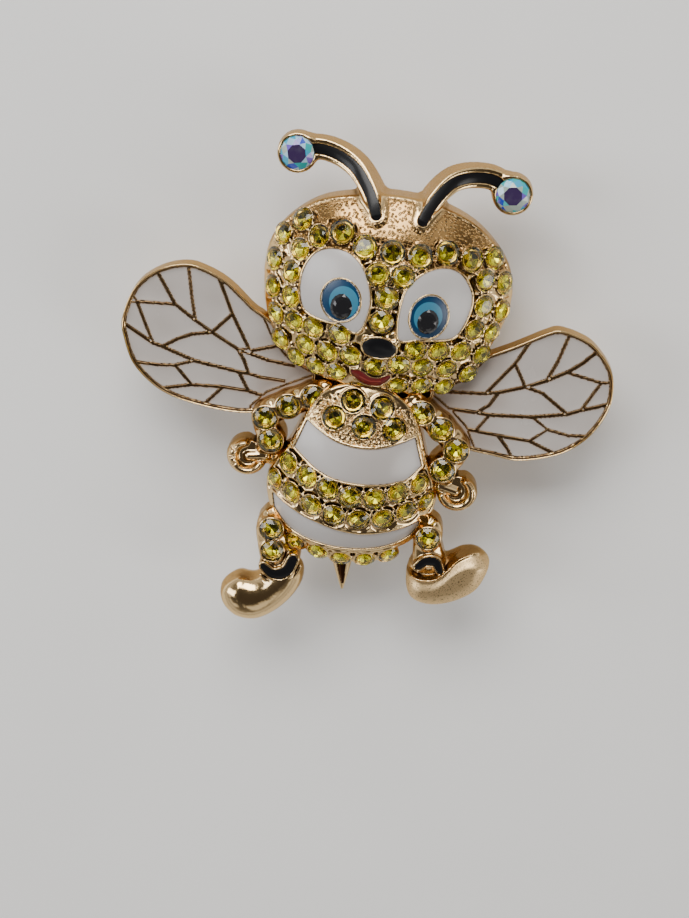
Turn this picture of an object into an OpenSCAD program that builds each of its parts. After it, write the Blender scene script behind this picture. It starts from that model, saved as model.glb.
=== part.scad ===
// Bee brooch: a cast and plated figure with glass stones, poured enamel and a pin on its back.
// It lies on its pin, face up: +X to the right of the figure, +Y towards its head, +Z out of its face.

/* [Pin] */
// Height of the casting's flat back above the surface that the brooch lies on
pin_height = 7; // [6.8:0.1:9]
// Length of the bar that is fixed to the back
pin_bar_l = 28; // [22:1:32]
// Width of that bar
pin_bar_w = 5; // [4:0.5:7]
// Thickness of that bar
pin_bar_t = 0.8; // [0.6:0.1:1.2]
// Diameter of the pin's stem
pin_stem_d = 0.9; // [0.7:0.1:1.2]
// Height of the stem's axis above the surface
pin_stem_h = 1.2; // [0.8:0.1:1.5]
// Length of the hinge block along the bar
pin_block_l = 2.4; // [1.8:0.1:3]

/* [Head] */
// Width of the head
head_w = 26.8; // [24:0.2:30]
// Length of the head from chin to crown
head_l = 21.2; // [19:0.2:24]
// Thickness of the head from its back to the top of its dome
head_t = 7.8; // [6.5:0.1:9]
// Slope of the dome at the sides of the head, in degrees
head_side_slope = 50; // [40:1:55]
// Slope of the dome at the crown, in degrees
head_crown_slope = 38; // [30:1:45]
// Slope of the dome at the chin, in degrees
head_chin_slope = 32; // [24:1:38]
// Place of the chin, measured from the middle of the pin
chin_y = 0.3; // [-1:0.1:1.5]

/* [Body] */
// Width of the body
body_w = 19.5; // [18:0.1:21]
// Length of the body
body_l = 20.2; // [19:0.1:22]
// Thickness of the body from its back to the top of its dome
body_t = 6.9; // [6.2:0.1:8]
// Slope of the dome at the sides of the body, in degrees
body_side_slope = 56; // [54:1:66]
// Slope of the dome at the end of the body, in degrees
body_end_slope = 30; // [22:1:36]
// Length of the sting
sting_l = 3.9; // [3:0.1:4.8]
// Width of the sting at its root
sting_w = 2.1; // [1.4:0.1:2.4]

/* [Wings] */
// Length of the left wing from its root to its tip
left_wing_w = 22; // [19:0.5:25]
// Width of the left wing
left_wing_l = 16.2; // [14:0.2:18]
// Length of the right wing from its root to its tip
right_wing_w = 19.9; // [17:0.1:23]
// Width of the right wing
right_wing_l = 15.8; // [14:0.2:18]
// Thickness of the wing plates
wing_t = 1.7; // [1.4:0.1:2.4]
// Width of the rim round a wing
wing_rim = 0.5; // [0.35:0.05:0.8]
// Width of a main vein
vein_w = 0.38; // [0.3:0.02:0.6]

/* [Antennae] */
// Width of an antenna
antenna_w = 2.4; // [2:0.1:3]
// Thickness of an antenna at its tip
antenna_t = 2; // [1.6:0.1:2.6]
// Width of the enamel channel in an antenna
channel_w = 1.15; // [0.8:0.05:1.5]

/* [Limbs] */
// Width of an arm
arm_w = 3.1; // [2.8:0.1:3.6]
// Thickness of an arm
arm_t = 3.6; // [3:0.1:4.4]
// Radius of a curled hand
hand_r = 2.35; // [1.9:0.05:2.6]
// Thickness of a hand
hand_t = 3; // [2.4:0.1:3.6]
// Width of a leg at its knee
leg_w = 3.3; // [3:0.1:3.8]
// Thickness of a leg
leg_t = 3.5; // [3:0.1:4.2]
// Width of a boot
boot_w = 9.5; // [8:0.1:11]
// Length of a boot
boot_l = 8.6; // [7.4:0.1:9.6]
// Thickness of a boot
boot_t = 4.4; // [3.6:0.1:5.4]
// Width of the black sock band
sock_w = 0.8; // [0.6:0.05:1]

/* [Stones] */
// Diameter of the yellow stones
stone_d = 2.3; // [2:0.05:2.4]
// Diameter of the two antenna stones
tip_stone_d = 3.6; // [3:0.1:4]
// Height of a stone's crown over its girdle, as a share of its diameter
crown_share = 0.17; // [0.1:0.01:0.25]
// Depth of a stone under its girdle, as a share of its diameter
pavilion_share = 0.28; // [0.2:0.01:0.34]
// Clearance between a stone and its seat
seat_gap = 0.05; // [0.03:0.01:0.08]

/* [Enamel] */
// Depth of an enamel pool
pool_depth = 0.7; // [0.5:0.05:0.9]
// Clearance between poured enamel and the metal round it
pool_gap = 0.05; // [0.03:0.01:0.08]
// Drop of the enamel's face below the metal rim
pool_drop = 0.08; // [0.02:0.01:0.15]
// Width of the rims round the eyes and the nose
rim_w = 0.4; // [0.3:0.05:0.6]
// Height of those rims over the dome
rim_h = 0.3; // [0.2:0.05:0.5]

/* [Back] */
// Depth of the two hollows in the back
hollow_depth = 2.8; // [1.4:0.1:3]
// Clearance between the pin's bar and the back
bar_gap = 0.03; // [0.02:0.01:0.06]

/* [Hidden] */

gold = "#d8b27a";
citrine = "#c9c62c";
crystal = "#9fb4dc";
pearl = "#d9d3d2";
ink = "#15151c";
sky = "#2f86b5";
ruby = "#8e2326";
steel = "#c9c9c4";

back_z = pin_height;
head_at = [-0.2, chin_y + head_l / 2];
head_half = [head_w / 2, head_l / 2];
body_at = [-0.7, chin_y + 0.5 - body_l / 2];
body_half = [body_w / 2, body_l / 2];
body_crest_y = body_at.y - 0.02 * body_half.y;
head_rx = head_half.x / sin(head_side_slope);
head_r_crown = head_half.y / sin(head_crown_slope);
head_r_chin = head_half.y / sin(head_chin_slope);
body_rx = body_half.x / sin(body_side_slope);
body_ry = body_half.y / sin(body_end_slope);
cut = 3;
culet = 0.35;

// Drop of a round back of radius r at a distance v from its top
function sag(r, v) = r - sqrt(r * r - v * v);

// Height of the head's dome and of the body's dome over the ground
head_z = function(x, y) back_z + head_t - sag(head_rx, x - head_at.x)
    - sag(y > head_at.y ? head_r_crown : head_r_chin, y - head_at.y);
body_z = function(x, y) back_z + body_t - sag(body_rx, x - body_at.x) - sag(body_ry, y - body_crest_y);

// Outlines: [share of the half width, share of the half length], anticlockwise from the right
head_outline = [
    [1.01, 0.03], [0.93, 0.45], [0.66, 0.79], [0.34, 0.96], [0, 1.01], [-0.33, 0.96], [-0.67, 0.82],
    [-0.94, 0.49], [-1.03, 0.10], [-0.95, -0.47], [-0.72, -0.86], [-0.36, -1.00], [0, -0.99],
    [0.34, -1.01], [0.67, -0.86], [0.90, -0.45]];
body_outline = [
    [1.00, -0.33], [0.92, -0.06], [0.80, 0.20], [0.65, 0.58], [0.40, 0.88], [0, 1.00], [-0.44, 0.86],
    [-0.66, 0.50], [-0.78, 0.16], [-0.91, -0.08], [-1.00, -0.37], [-0.90, -0.72], [-0.70, -0.92],
    [-0.36, -1.01], [0.02, -1.02], [0.42, -0.97], [0.76, -0.84], [0.92, -0.62]];
left_eye_outline = [
    [-0.13, -0.08], [-0.16, 0.14], [-0.24, 0.32], [-0.36, 0.42], [-0.50, 0.42], [-0.62, 0.33],
    [-0.69, 0.14], [-0.69, -0.08], [-0.63, -0.25], [-0.48, -0.30], [-0.34, -0.30], [-0.19, -0.35]];
right_eye_outline = [
    [0.65, 0.20], [0.54, 0.37], [0.40, 0.41], [0.26, 0.34], [0.15, 0.18], [0.12, 0], [0.12, -0.20],
    [0.15, -0.36], [0.28, -0.34], [0.43, -0.32], [0.57, -0.29], [0.63, -0.18], [0.67, 0.02]];
// Ovals of the face: [centre x, centre y, half width, half height], shares of the head's halves
left_iris_oval = [-0.36, -0.055, 0.155, 0.215];
right_iris_oval = [0.35, -0.085, 0.15, 0.225];
left_pupil_oval = [-0.338, -0.112, 0.098, 0.132];
right_pupil_oval = [0.34, -0.13, 0.094, 0.128];
nose_oval = [0, -0.485, 0.135, 0.11];
// Edges of the mouth and of the two white bands, left to right
mouth_top = [[-0.20, -0.80], [-0.12, -0.79], [-0.03, -0.85], [0.05, -0.84], [0.12, -0.78]];
mouth_bottom = [[-0.19, -0.84], [-0.12, -0.91], [-0.03, -0.95], [0.06, -0.93], [0.13, -0.82]];
upper_band_top = [[-0.62, 0.49], [-0.47, 0.42], [-0.28, 0.35], [-0.06, 0.32], [0.16, 0.33], [0.37, 0.38],
    [0.62, 0.48]];
upper_band_bottom = [[-0.72, 0.15], [-0.45, 0], [-0.22, -0.07], [0.12, -0.08], [0.40, -0.05], [0.60, 0],
    [0.75, 0.15]];
lower_band_top = [[-0.90, -0.50], [-0.76, -0.55], [-0.55, -0.62], [-0.31, -0.67], [-0.08, -0.71],
    [0.21, -0.72], [0.49, -0.67], [0.70, -0.61], [0.84, -0.55]];
lower_band_bottom = [[-0.86, -0.67], [-0.70, -0.82], [-0.51, -0.91], [-0.23, -0.95], [0.06, -0.95],
    [0.35, -0.91], [0.56, -0.85], [0.74, -0.75], [0.84, -0.61]];
// Boots: shares of the boot's half width and half length, anticlockwise
left_boot_outline = [
    [1.0, 0.47], [0.90, 0.93], [0.48, 1.0], [0.06, 0.66], [-0.23, 0.38], [-0.60, 0.37], [-0.90, 0.10],
    [-1.0, -0.24], [-0.88, -0.63], [-0.52, -0.93], [-0.02, -0.93], [0.44, -0.60], [0.81, -0.09]];
right_boot_outline = [
    [1.0, 0.24], [0.98, 0.62], [0.68, 0.86], [0.30, 0.82], [-0.09, 0.56], [-0.49, 0.55], [-0.92, 0.29],
    [-0.94, -0.33], [-0.77, -0.79], [-0.30, -0.93], [0.26, -0.76], [0.79, -0.33]];

// Roots of the wings in shares of the head's halves
left_wing_root = [-0.4925, -0.816];
right_wing_root = [0.4925, -0.8774];
// Wings: [share of the wing's length from its root, share of its half width], root last
left_wing_outline = [
    [0.28, 0.45], [0.35, 0.55], [0.48, 0.82], [0.60, 0.96], [0.71, 1.0], [0.84, 0.87], [0.95, 0.58],
    [1.0, 0.11], [0.98, -0.18], [0.92, -0.52], [0.81, -0.78], [0.70, -0.91], [0.55, -0.98], [0.39, -1.0],
    [0.26, -0.95], [0.10, -0.80], [0, -0.50], [0, -0.15], [0.12, 0.17]];
right_wing_outline = [
    [0.27, 0.48], [0.41, 0.68], [0.56, 0.92], [0.64, 1.0], [0.77, 0.94], [0.86, 0.82], [0.965, 0.53],
    [1.0, 0.18], [0.985, -0.13], [0.92, -0.47], [0.82, -0.73], [0.70, -0.89], [0.54, -1.0], [0.40, -0.98],
    [0.26, -0.95], [0.13, -0.84], [0, -0.52], [0, -0.08], [0.105, 0.23]];
// Veins: [width as a share of a main vein, points in the wing's shares]
left_veins = [
    [1, [[0.86, 0.86], [0.74, 0.40], [0.63, 0.22], [0.54, 0.09]]],
    [0.9, [[0.70, 1.0], [0.66, 0.52], [0.63, 0.22]]],
    [1, [[0.55, 0.92], [0.45, 0.39], [0.34, -0.08]]],
    [1, [[0.45, 0.39], [0.54, 0.09]]],
    [1, [[0.54, 0.09], [0.40, -0.09], [0.33, -0.08], [0.20, 0.05]]],
    [0.9, [[0.98, 0.50], [0.93, 0.34], [0.90, 0.18], [0.83, -0.19]]],
    [0.9, [[0.99, 0.34], [0.74, 0.40]]],
    [1.1, [[1.0, 0.04], [0.83, -0.19], [0.78, -0.22], [0.61, -0.35], [0.38, -0.41], [0.33, -0.41]]],
    [1, [[0.78, -0.22], [0.71, -0.08], [0.64, 0.02], [0.54, 0.09]]],
    [0.9, [[0.93, -0.50], [0.79, -0.49], [0.71, -0.46], [0.61, -0.35]]],
    [0.9, [[0.70, -0.47], [0.61, -0.70]]],
    [1, [[0.79, -0.84], [0.61, -0.70], [0.45, -0.66], [0.32, -0.66], [0.20, -0.72]]],
    [0.9, [[0.45, -0.66], [0.55, -1.0]]],
    [1, [[0.40, -0.09], [0.36, -0.24], [0.33, -0.41], [0.26, -0.44], [0.14, -0.44]]],
    [1, [[0.38, -0.41], [0.32, -0.66]]],
    [1, [[0.40, -0.09], [0.24, -0.18], [0.10, -0.20]]]];
right_veins = [
    [1, [[0.51, 0.88], [0.43, 0.41], [0.30, -0.08]]],
    [0.9, [[0.43, 0.41], [0.51, 0.10]]],
    [1, [[0.70, 1.0], [0.66, 0.54], [0.62, 0.24]]],
    [1.1, [[0.37, -0.04], [0.51, 0.10], [0.62, 0.24], [0.73, 0.42], [0.80, 0.58], [0.88, 0.82]]],
    [0.9, [[0.73, 0.40], [0.92, 0.33], [1.0, 0.37]]],
    [0.9, [[0.92, 0.33], [0.84, -0.11]]],
    [1, [[0.51, 0.10], [0.61, 0.05], [0.77, -0.20]]],
    [1.1, [[0.06, -0.40], [0.27, -0.38], [0.34, -0.39], [0.58, -0.32], [0.77, -0.20], [0.84, -0.11],
        [0.92, -0.03], [1.0, 0.06]]],
    [1, [[0.37, -0.04], [0.33, -0.25], [0.27, -0.38]]],
    [1, [[0.08, -0.15], [0.29, -0.09], [0.37, -0.04]]],
    [0.9, [[0.34, -0.40], [0.28, -0.66]]],
    [1, [[0.16, -0.64], [0.41, -0.67], [0.59, -0.68], [0.76, -0.82]]],
    [0.9, [[0.58, -0.32], [0.68, -0.47], [0.59, -0.68]]],
    [0.9, [[0.68, -0.47], [0.80, -0.51], [0.94, -0.46]]],
    [0.9, [[0.41, -0.67], [0.47, -0.82], [0.52, -1.0]]]];

// Rows of stones: [count, share of the stone's diameter, points that the row runs through]
head_rows = [
    [6, 1.04, [[-0.76, 0.62], [-0.93, 0.36], [-0.93, -0.11], [-0.81, -0.67]]],
    [3, 0.94, [[-0.66, -0.81], [-0.49, -0.855], [-0.31, -0.86]]],
    [5, 1, [[-0.61, 0.51], [-0.77, 0.28], [-0.785, -0.05], [-0.71, -0.41]]],
    [3, 1, [[-0.595, -0.63], [-0.41, -0.645], [-0.22, -0.63]]],
    [2, 1, [[-0.55, -0.42], [-0.33, -0.42]]],
    [6, 1.1, [[-0.43, 0.60], [-0.22, 0.50], [0.01, 0.50], [0.22, 0.50], [0.41, 0.56], [0.62, 0.51]]],
    [3, 1.04, [[0.80, 0.53], [0.925, 0.26], [0.94, -0.02]]],
    [3, 0.96, [[0.89, -0.25], [0.84, -0.49], [0.76, -0.72]]],
    [4, 1, [[0.755, 0.31], [0.78, 0.04], [0.74, -0.21], [0.66, -0.45]]],
    [2, 1, [[0.48, -0.455], [0.29, -0.455]]],
    [2, 0.98, [[0.57, -0.66], [0.37, -0.65]]],
    [3, 0.94, [[0.58, -0.88], [0.39, -0.88], [0.20, -0.90]]],
    [2, 0.98, [[0.18, -0.65], [-0.01, -0.705]]],
    [2, 1.06, [[-0.10, 0.27], [0.098, 0.285]]],
    [2, 1.04, [[-0.005, 0.05], [-0.015, -0.20]]]];
chest_rows = [
    [2, 1, [[-0.14, 0.80], [0.20, 0.77]]],
    [3, 1, [[-0.32, 0.59], [0.01, 0.555], [0.37, 0.56]]]];
belly_rows = [
    [7, 1.04, [[-0.76, -0.05], [-0.27, -0.20], [0.01, -0.25], [0.29, -0.23], [0.76, -0.06]]],
    [8, 1.04, [[-0.90, -0.32], [-0.43, -0.455], [-0.17, -0.51], [0.16, -0.52], [0.42, -0.485],
        [0.88, -0.30]]]];
tail_row = [5, 0.96, [[-0.55, -1.03], [-0.28, -1.08], [0.01, -1.12], [0.29, -1.09], [0.55, -1.02]]];

// Limbs: shares of the body's half width and half length, right of the neck and up
neck = [body_at.x, chin_y];
// The arms' third column is the share of their thickness
left_arm_line = [[-0.472, -0.168, 1], [-0.862, -0.381, 1], [-1.103, -0.554, 1], [-1.005, -0.802, 1],
    [-1, -0.931, 1], [-0.985, -1.02, 0.6]];
right_arm_line = [[0.544, -0.149, 1], [0.903, -0.371, 1], [1.113, -0.584, 1], [1, -0.837, 1],
    [0.974, -0.96, 1], [0.954, -1.059, 0.6]];
left_arm_seats = [[-0.595, -0.233], [-0.862, -0.381], [-1.103, -0.554], [-1.005, -0.802]];
right_arm_seats = [[0.656, -0.218], [0.903, -0.371], [1.113, -0.584], [1, -0.837]];
left_hand = [-1.251, -1.069];
right_hand = [1.21, -1.109];
// Legs are hulled from discs: [x, y, share of half the leg's width, share of its thickness]
left_leg = [[-0.718, -1.703, 0.8, 0.4], [-0.856, -1.832, 1.04, 1], [-0.8, -2.109, 1.06, 1],
    [-0.718, -2.257, 1.27, 1]];
right_leg = [[0.79, -1.545, 0.8, 0.4], [0.964, -1.594, 0.95, 1], [0.974, -1.743, 0.97, 1],
    [1.036, -1.98, 1.15, 1]];
left_leg_seats = [[-0.851, -1.856], [-0.805, -2.119]];
right_leg_seats = [[0.974, -1.673]];
left_boot = [-0.882, -2.663];
right_boot = [1.262, -2.129];
left_sock = [[-0.882, -2.307], [-0.749, -2.386], [-0.605, -2.327], [-0.544, -2.168]];
right_sock = [[0.913, -2.02], [0.995, -1.941], [1.108, -1.931], [1.179, -2.03]];

// Antennae: shares of the head's half width and half length from the middle of the crown, tip first,
// and the share of the rise over the tip
left_antenna = [[-0.881, 0.245, 0], [-0.739, 0.316, 0], [-0.567, 0.297, 0.1], [-0.41, 0.208, 0.3],
    [-0.299, 0.066, 0.6], [-0.22, -0.085, 0.85], [-0.172, -0.245, 1]];
right_antenna = [[0.858, 0.16, 0], [0.709, 0.274, 0], [0.545, 0.283, 0.1], [0.396, 0.226, 0.3],
    [0.299, 0.113, 0.55], [0.216, -0.057, 0.8], [0.164, -0.245, 1]];
crown = [head_at.x, head_at.y + head_half.y];
antenna_rise = head_t - antenna_t - sag(head_r_crown, head_half.y - 3);

function mix(a, b, t) = a + (b - a) * t;
function spline(p, t) = 0.5 * (2 * p[1] + (p[2] - p[0]) * t + (2 * p[0] - 5 * p[1] + 4 * p[2] - p[3]) * t * t
    + (3 * p[1] - p[0] - 3 * p[2] + p[3]) * t * t * t);

// Closed and open smooth curves through points, with so many steps between two points
function smooth_loop(pts, steps) = let (n = len(pts))
    [for (i = [0:n - 1], k = [0:steps - 1])
        spline([pts[(i + n - 1) % n], pts[i], pts[(i + 1) % n], pts[(i + 2) % n]], k / steps)];
function smooth_line(pts, steps) = let (n = len(pts) - 1)
    concat([for (i = [0:n - 1], k = [0:steps - 1])
        spline([i == 0 ? 2 * pts[0] - pts[1] : pts[i - 1], pts[i], pts[i + 1],
            i + 1 == n ? 2 * pts[n] - pts[n - 1] : pts[i + 2]], k / steps)], [pts[n]]);

// Table shares turned into millimetres round a centre
function placed(rows, at, half) = [for (r = rows) [at.x + r[0] * half.x, at.y + r[1] * half.y]];
// The same with any further columns kept as they are
function spread(row, at, half) = [for (i = [0:len(row) - 1]) i < 2 ? at[i] + row[i] * half[i] : row[i]];
function on_body(rows) = [for (r = rows) spread(r, neck, body_half)];
function on_head(rows) = [for (r = rows) spread(r, crown, head_half)];
function oval(row, at, half, sides) = [for (i = [0:sides - 1]) let (a = 360 * i / sides)
    [at.x + (row[0] + row[2] * cos(a)) * half.x, at.y + (row[1] + row[3] * sin(a)) * half.y]];
function middle(pts) = let (ones = [for (p = pts) 1]) ones * pts / len(pts);
function unit(v) = v / norm(v);

// A loop grown outwards by d
function grown(loop, d) = let (n = len(loop))
    [for (i = [0:n - 1]) let (t = unit(loop[(i + 1) % n] - loop[(i + n - 1) % n]))
        loop[i] + d * [t.y, -t.x]];

// Points at even distances along a line
function lengths(pts) = let (last = len(pts) - 1)
    [for (i = 0, s = 0; i <= last; s = s + norm(pts[min(i + 1, last)] - pts[i]), i = i + 1) s];
function at_length(pts, sums, s) = let (i = [for (k = [0:len(pts) - 2]) if (sums[k + 1] > s - 0.001) k][0])
    mix(pts[i], pts[i + 1], (s - sums[i]) / (sums[i + 1] - sums[i]));
function evenly(pts, count) = let (sums = lengths(pts), total = sums[len(sums) - 1])
    [for (k = [0:count - 1]) at_length(pts, sums, total * k / (count - 1))];
function even_loop(pts, sides) = let (line = evenly(concat(smooth_loop(pts, 4), [pts[0]]), sides + 1))
    [for (i = [0:sides - 1]) line[i]];
function lifted(pts, height_at) = [for (p = pts) [p.x, p.y, height_at(p.x, p.y)]];

// Unit normal of a dome at a point
function facing(height_at, p) = let (e = 0.05)
    unit([height_at(p.x - e, p.y) - height_at(p.x + e, p.y),
        height_at(p.x, p.y - e) - height_at(p.x, p.y + e), 2 * e]);

// Seats of a row of stones: [point, normal, diameter]
function row_seats(row, at, half, height_at) =
    [for (p = evenly(lifted(smooth_line(placed(row[2], at, half), 6), height_at), row[0]))
        [p, facing(height_at, p), row[1] * stone_d]];
function flat_seats(pts, z, d) = [for (p = on_body(pts)) [[p.x, p.y, z], [0, 0, 1], d]];

head_seats = [for (r = head_rows) each row_seats(r, head_at, head_half, head_z)];
chest_seats = [for (r = chest_rows) each row_seats(r, body_at, body_half, body_z)];
belly_seats = [for (r = belly_rows) each row_seats(r, body_at, body_half, body_z)];
tail_seats = row_seats(tail_row, body_at, body_half, body_z);
left_arm_set = flat_seats(left_arm_seats, back_z + arm_t, stone_d * 1.06);
right_arm_set = flat_seats(right_arm_seats, back_z + arm_t, stone_d * 1.06);
left_leg_set = flat_seats(left_leg_seats, back_z + leg_t, stone_d * 1.02);
right_leg_set = flat_seats(right_leg_seats, back_z + leg_t, stone_d * 1.04);
function tip_set(rows) = let (tip = on_head(rows)[0]) [[[tip.x, tip.y, back_z + antenna_t], [0, 0, 1],
    tip_stone_d]];
left_tip_set = tip_set(left_antenna);
right_tip_set = tip_set(right_antenna);

head_loop = even_loop(placed(head_outline, head_at, head_half), 32);
body_loop = even_loop(placed(body_outline, body_at, body_half), 30);
left_eye_loop = even_loop(placed(left_eye_outline, head_at, head_half), 18);
right_eye_loop = even_loop(placed(right_eye_outline, head_at, head_half), 18);

// A closed skin over rings of points, with flat ends or with ends that run to their middles
module skin(rings, flat = false) {
    n = len(rings[0]);
    m = len(rings);
    end = n * m;
    points = concat([for (r = rings) each r], [middle(rings[0]), middle(rings[m - 1])]);
    sides = [for (k = [0:m - 2], i = [0:n - 1]) let (a = k * n + i, b = k * n + (i + 1) % n)
        each [[a, b, b + n], [a, b + n, a + n]]];
    flat_ends = [[for (i = [n - 1:-1:0]) i], [for (i = [0:n - 1]) end - n + i]];
    round_ends = [for (i = [0:n - 1]) let (j = (i + 1) % n)
        each [[end, j, i], [end + 1, end - n + i, end - n + j]]];
    polyhedron(points, concat(sides, flat ? flat_ends : round_ends), convexity = 8);
}

// Rings of a dome inside a loop, each at its height over it
function dome_rings(loop, height_at, rise, count) = let (c = middle(loop))
    [for (k = [1:count]) [for (p = loop) let (q = mix(c, p, k / count))
        [q.x, q.y, height_at(q.x, q.y) + rise]]];
function reversed(list) = [for (i = [len(list) - 1:-1:0]) list[i]];

module dome(loop, height_at, floor, count) {
    skin(concat(dome_rings(loop, height_at, 0, count), [[for (p = loop) [p.x, p.y, floor]]]));
}

// A sheet that follows a dome from its low offset to its high offset
module patch(loop, height_at, low, high, low_rings, high_rings) {
    skin(concat(dome_rings(loop, height_at, high, high_rings),
        reversed(dome_rings(loop, height_at, low, low_rings))));
}

// The same between two edge curves, for long bands, drawn in by an inset all round
function drawn_in(edge, i, inset) = let (last = len(edge) - 1)
    i == 0 ? edge[0] + inset * unit(edge[1] - edge[0])
    : i == last ? edge[last] + inset * unit(edge[last - 1] - edge[last]) : edge[i];

module band(edge_a, edge_b, height_at, low, high, inset) {
    across = 2;
    skin([for (i = [0:len(edge_a) - 1]) let (a = drawn_in(edge_a, i, inset), b = drawn_in(edge_b, i, inset),
        step = inset * unit(b - a), line = [for (k = [0:across]) mix(a + step, b - step, k / across)])
        concat([for (p = line) [p.x, p.y, height_at(p.x, p.y) + low]],
            [for (p = reversed(line)) [p.x, p.y, height_at(p.x, p.y) + high]])]);
}

// A puffed form inside a loop
module pillow(loop, floor, height) {
    c = middle(loop);
    edge = 0.4;
    skin(concat(
        [for (a = [60, 30, 0]) [for (p = loop) let (q = mix(c, p, cos(a)))
            [q.x, q.y, floor + height * (edge + (1 - edge) * sin(a))]]],
        [[for (p = loop) let (q = mix(c, p, 0.9)) [q.x, q.y, floor]]]));
}

// A bar along a line of [x, y, low, high], with bevelled top edges
module ribbon(path, width, bevel) {
    last = len(path) - 1;
    skin([for (i = [0:last]) let (p = path[i], q = path[min(i + 1, last)] - path[max(i - 1, 0)],
        s = [q.y, -q.x] / norm([q.x, q.y]), w = width / 2)
        [for (c = concat([[-w, p[2]], [w, p[2]]], bevel == 0 ? [[w, p[3]], [-w, p[3]]]
            : [[w, p[3] - bevel], [w - bevel, p[3]], [bevel - w, p[3]], [-w, p[3] - bevel]]))
            [p.x + s.x * c[0], p.y + s.y * c[0], c[1]]]], true);
}

// A flat line of even width
module stroke(pts, width) {
    last = len(pts) - 1;
    sides = [for (i = [0:last]) let (t = unit(pts[min(i + 1, last)] - pts[max(i - 1, 0)]))
        width / 2 * [t.y, -t.x]];
    polygon(concat([for (i = [0:last]) pts[i] + sides[i]], [for (i = [last:-1:0]) pts[i] - sides[i]]));
}

// Stands its children on a seat, with +Z along the seat's normal
module stand_on(seat) {
    turn = atan2(seat[1].y, seat[1].x);
    translate(seat[0]) rotate([0, acos(seat[1].z), turn]) rotate([0, 0, 22.5 - turn]) children();
}

// A cut stone: flat table, eight crown facets, girdle and pavilion
module stone(d) {
    rings = d * [[0.29, crown_share], [0.5, 0], [culet / 2, -pavilion_share]];
    skin([for (r = rings) [for (i = [0:7]) [r[0] * cos(45 * i), r[0] * sin(45 * i), r[1]]]], true);
}

module stones(seats) {
    for (s = seats) {
        stand_on(s) stone(s[2]);
    }
}

module seats(list) {
    for (s = list) {
        deep = s[2] * pavilion_share;
        stand_on(s) translate([0, 0, -deep - 1.3 * seat_gap])
            cylinder(h = 2 * deep, d1 = culet * s[2], d2 = (2 - culet) * s[2], $fn = 8);
    }
}

// Side is -1 for the left wing and 1 for the right wing
function wing_line(side, rows) = let (w = side < 0 ? left_wing_w : right_wing_w,
    l = side < 0 ? left_wing_l : right_wing_l,
    root = side < 0 ? placed([left_wing_root], head_at, head_half)[0]
        : placed([right_wing_root], head_at, head_half)[0])
    [for (r = rows) [root.x + side * r[0] * w, root.y + r[1] * l / 2]];

module wing_shape(side) {
    polygon(smooth_loop(wing_line(side, side < 0 ? left_wing_outline : right_wing_outline), 2));
}

module wing_cells(side) {
    margin = wing_rim;
    keep = 0.12;
    offset(delta = keep) offset(delta = -keep) difference() {
        offset(delta = -wing_rim) wing_shape(side);
        for (v = side < 0 ? left_veins : right_veins) {
            stroke(wing_line(side, v[1]), v[0] * vein_w);
        }
        offset(delta = margin) {
            polygon(head_loop);
            polygon(body_loop);
            stroke([for (p = arm_line(side)) [p.x, p.y]], arm_w);
        }
    }
}

module wing_enamel(side) {
    translate([0, 0, back_z + wing_t - pool_depth + pool_gap])
        linear_extrude(pool_depth - pool_gap - pool_drop) offset(delta = -pool_gap) wing_cells(side);
}

function arm_line(side) = smooth_line(on_body(side < 0 ? left_arm_line : right_arm_line), 2);

module arm(side) {
    ribbon([for (p = arm_line(side)) [p.x, p.y, back_z, back_z + arm_t * min(p[2], 1)]], arm_w, 0.4);
}

// A curled hand round a small palm
module hand(at, from, sweep) {
    finger = hand_r * 0.2;
    profile = [[-1, 0], [1, 0], [1, 0.7], [0, 1], [-1, 0.7]];
    spot = on_body([at])[0];
    translate([spot.x, spot.y, back_z]) {
        rotate([0, 0, from]) rotate_extrude(angle = sweep, $fn = 20)
            polygon([for (p = profile) [hand_r - finger + finger * p.x, hand_t * p.y]]);
        cylinder(h = hand_t * 0.35, r = hand_r - finger, $fn = 12);
        cylinder(h = hand_t * 0.85, r = hand_r * 0.46, $fn = 10);
    }
}

module leg(discs) {
    for (i = [0:len(discs) - 2]) {
        hull() {
            for (d = on_body([discs[i], discs[i + 1]])) {
                translate([d[0], d[1], back_z]) {
                    cylinder(h = leg_t * d[3] - 0.4, r = d[2] * leg_w / 2, $fn = 12);
                    cylinder(h = leg_t * d[3], r = d[2] * leg_w / 2 - 0.3, $fn = 12);
                }
            }
        }
    }
}

module boot(at, outline) {
    pillow(even_loop(placed(outline, on_body([at])[0], [boot_w / 2, boot_l / 2]), 20), back_z, boot_t);
}

// A sock band's line: [x, y, low, high] at so many even stations
function sock_path(pts, low, high, stations) =
    [for (p = evenly(smooth_line(on_body(pts), 4), stations)) [p.x, p.y, low, high]];
sock_top = back_z + leg_t + 0.5;
collar_stations = 8;
groove_stations = 11;

// A path with both ends drawn in by the gap
function inner_path(path) = [for (i = [0:len(path) - 1]) drawn_in(path, i, pool_gap)];

module sock_collar(pts) {
    ribbon(sock_path(pts, back_z + 1, sock_top, collar_stations), sock_w + 2 * rim_w, 0);
}

module sock_groove(pts) {
    ribbon(sock_path(pts, sock_top - pool_depth, sock_top + cut, groove_stations), sock_w, 0);
}

module sock_enamel(pts) {
    path = sock_path(pts, sock_top - pool_depth + pool_gap, sock_top - pool_drop, groove_stations);
    ribbon(inner_path(path), sock_w - 2 * pool_gap, 0);
}

// Line of an antenna: [x, y, low, high], with its channel's floor where asked
function antenna_path(rows, low, high) = [for (p = smooth_line(on_head(rows), 2))
    let (top = back_z + antenna_t + p[2] * antenna_rise)
    [p.x, p.y, low == 0 ? back_z : top + low, top + high]];
function channel_rows(rows) = [for (i = [1:len(rows) - 1]) rows[i]];

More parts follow.
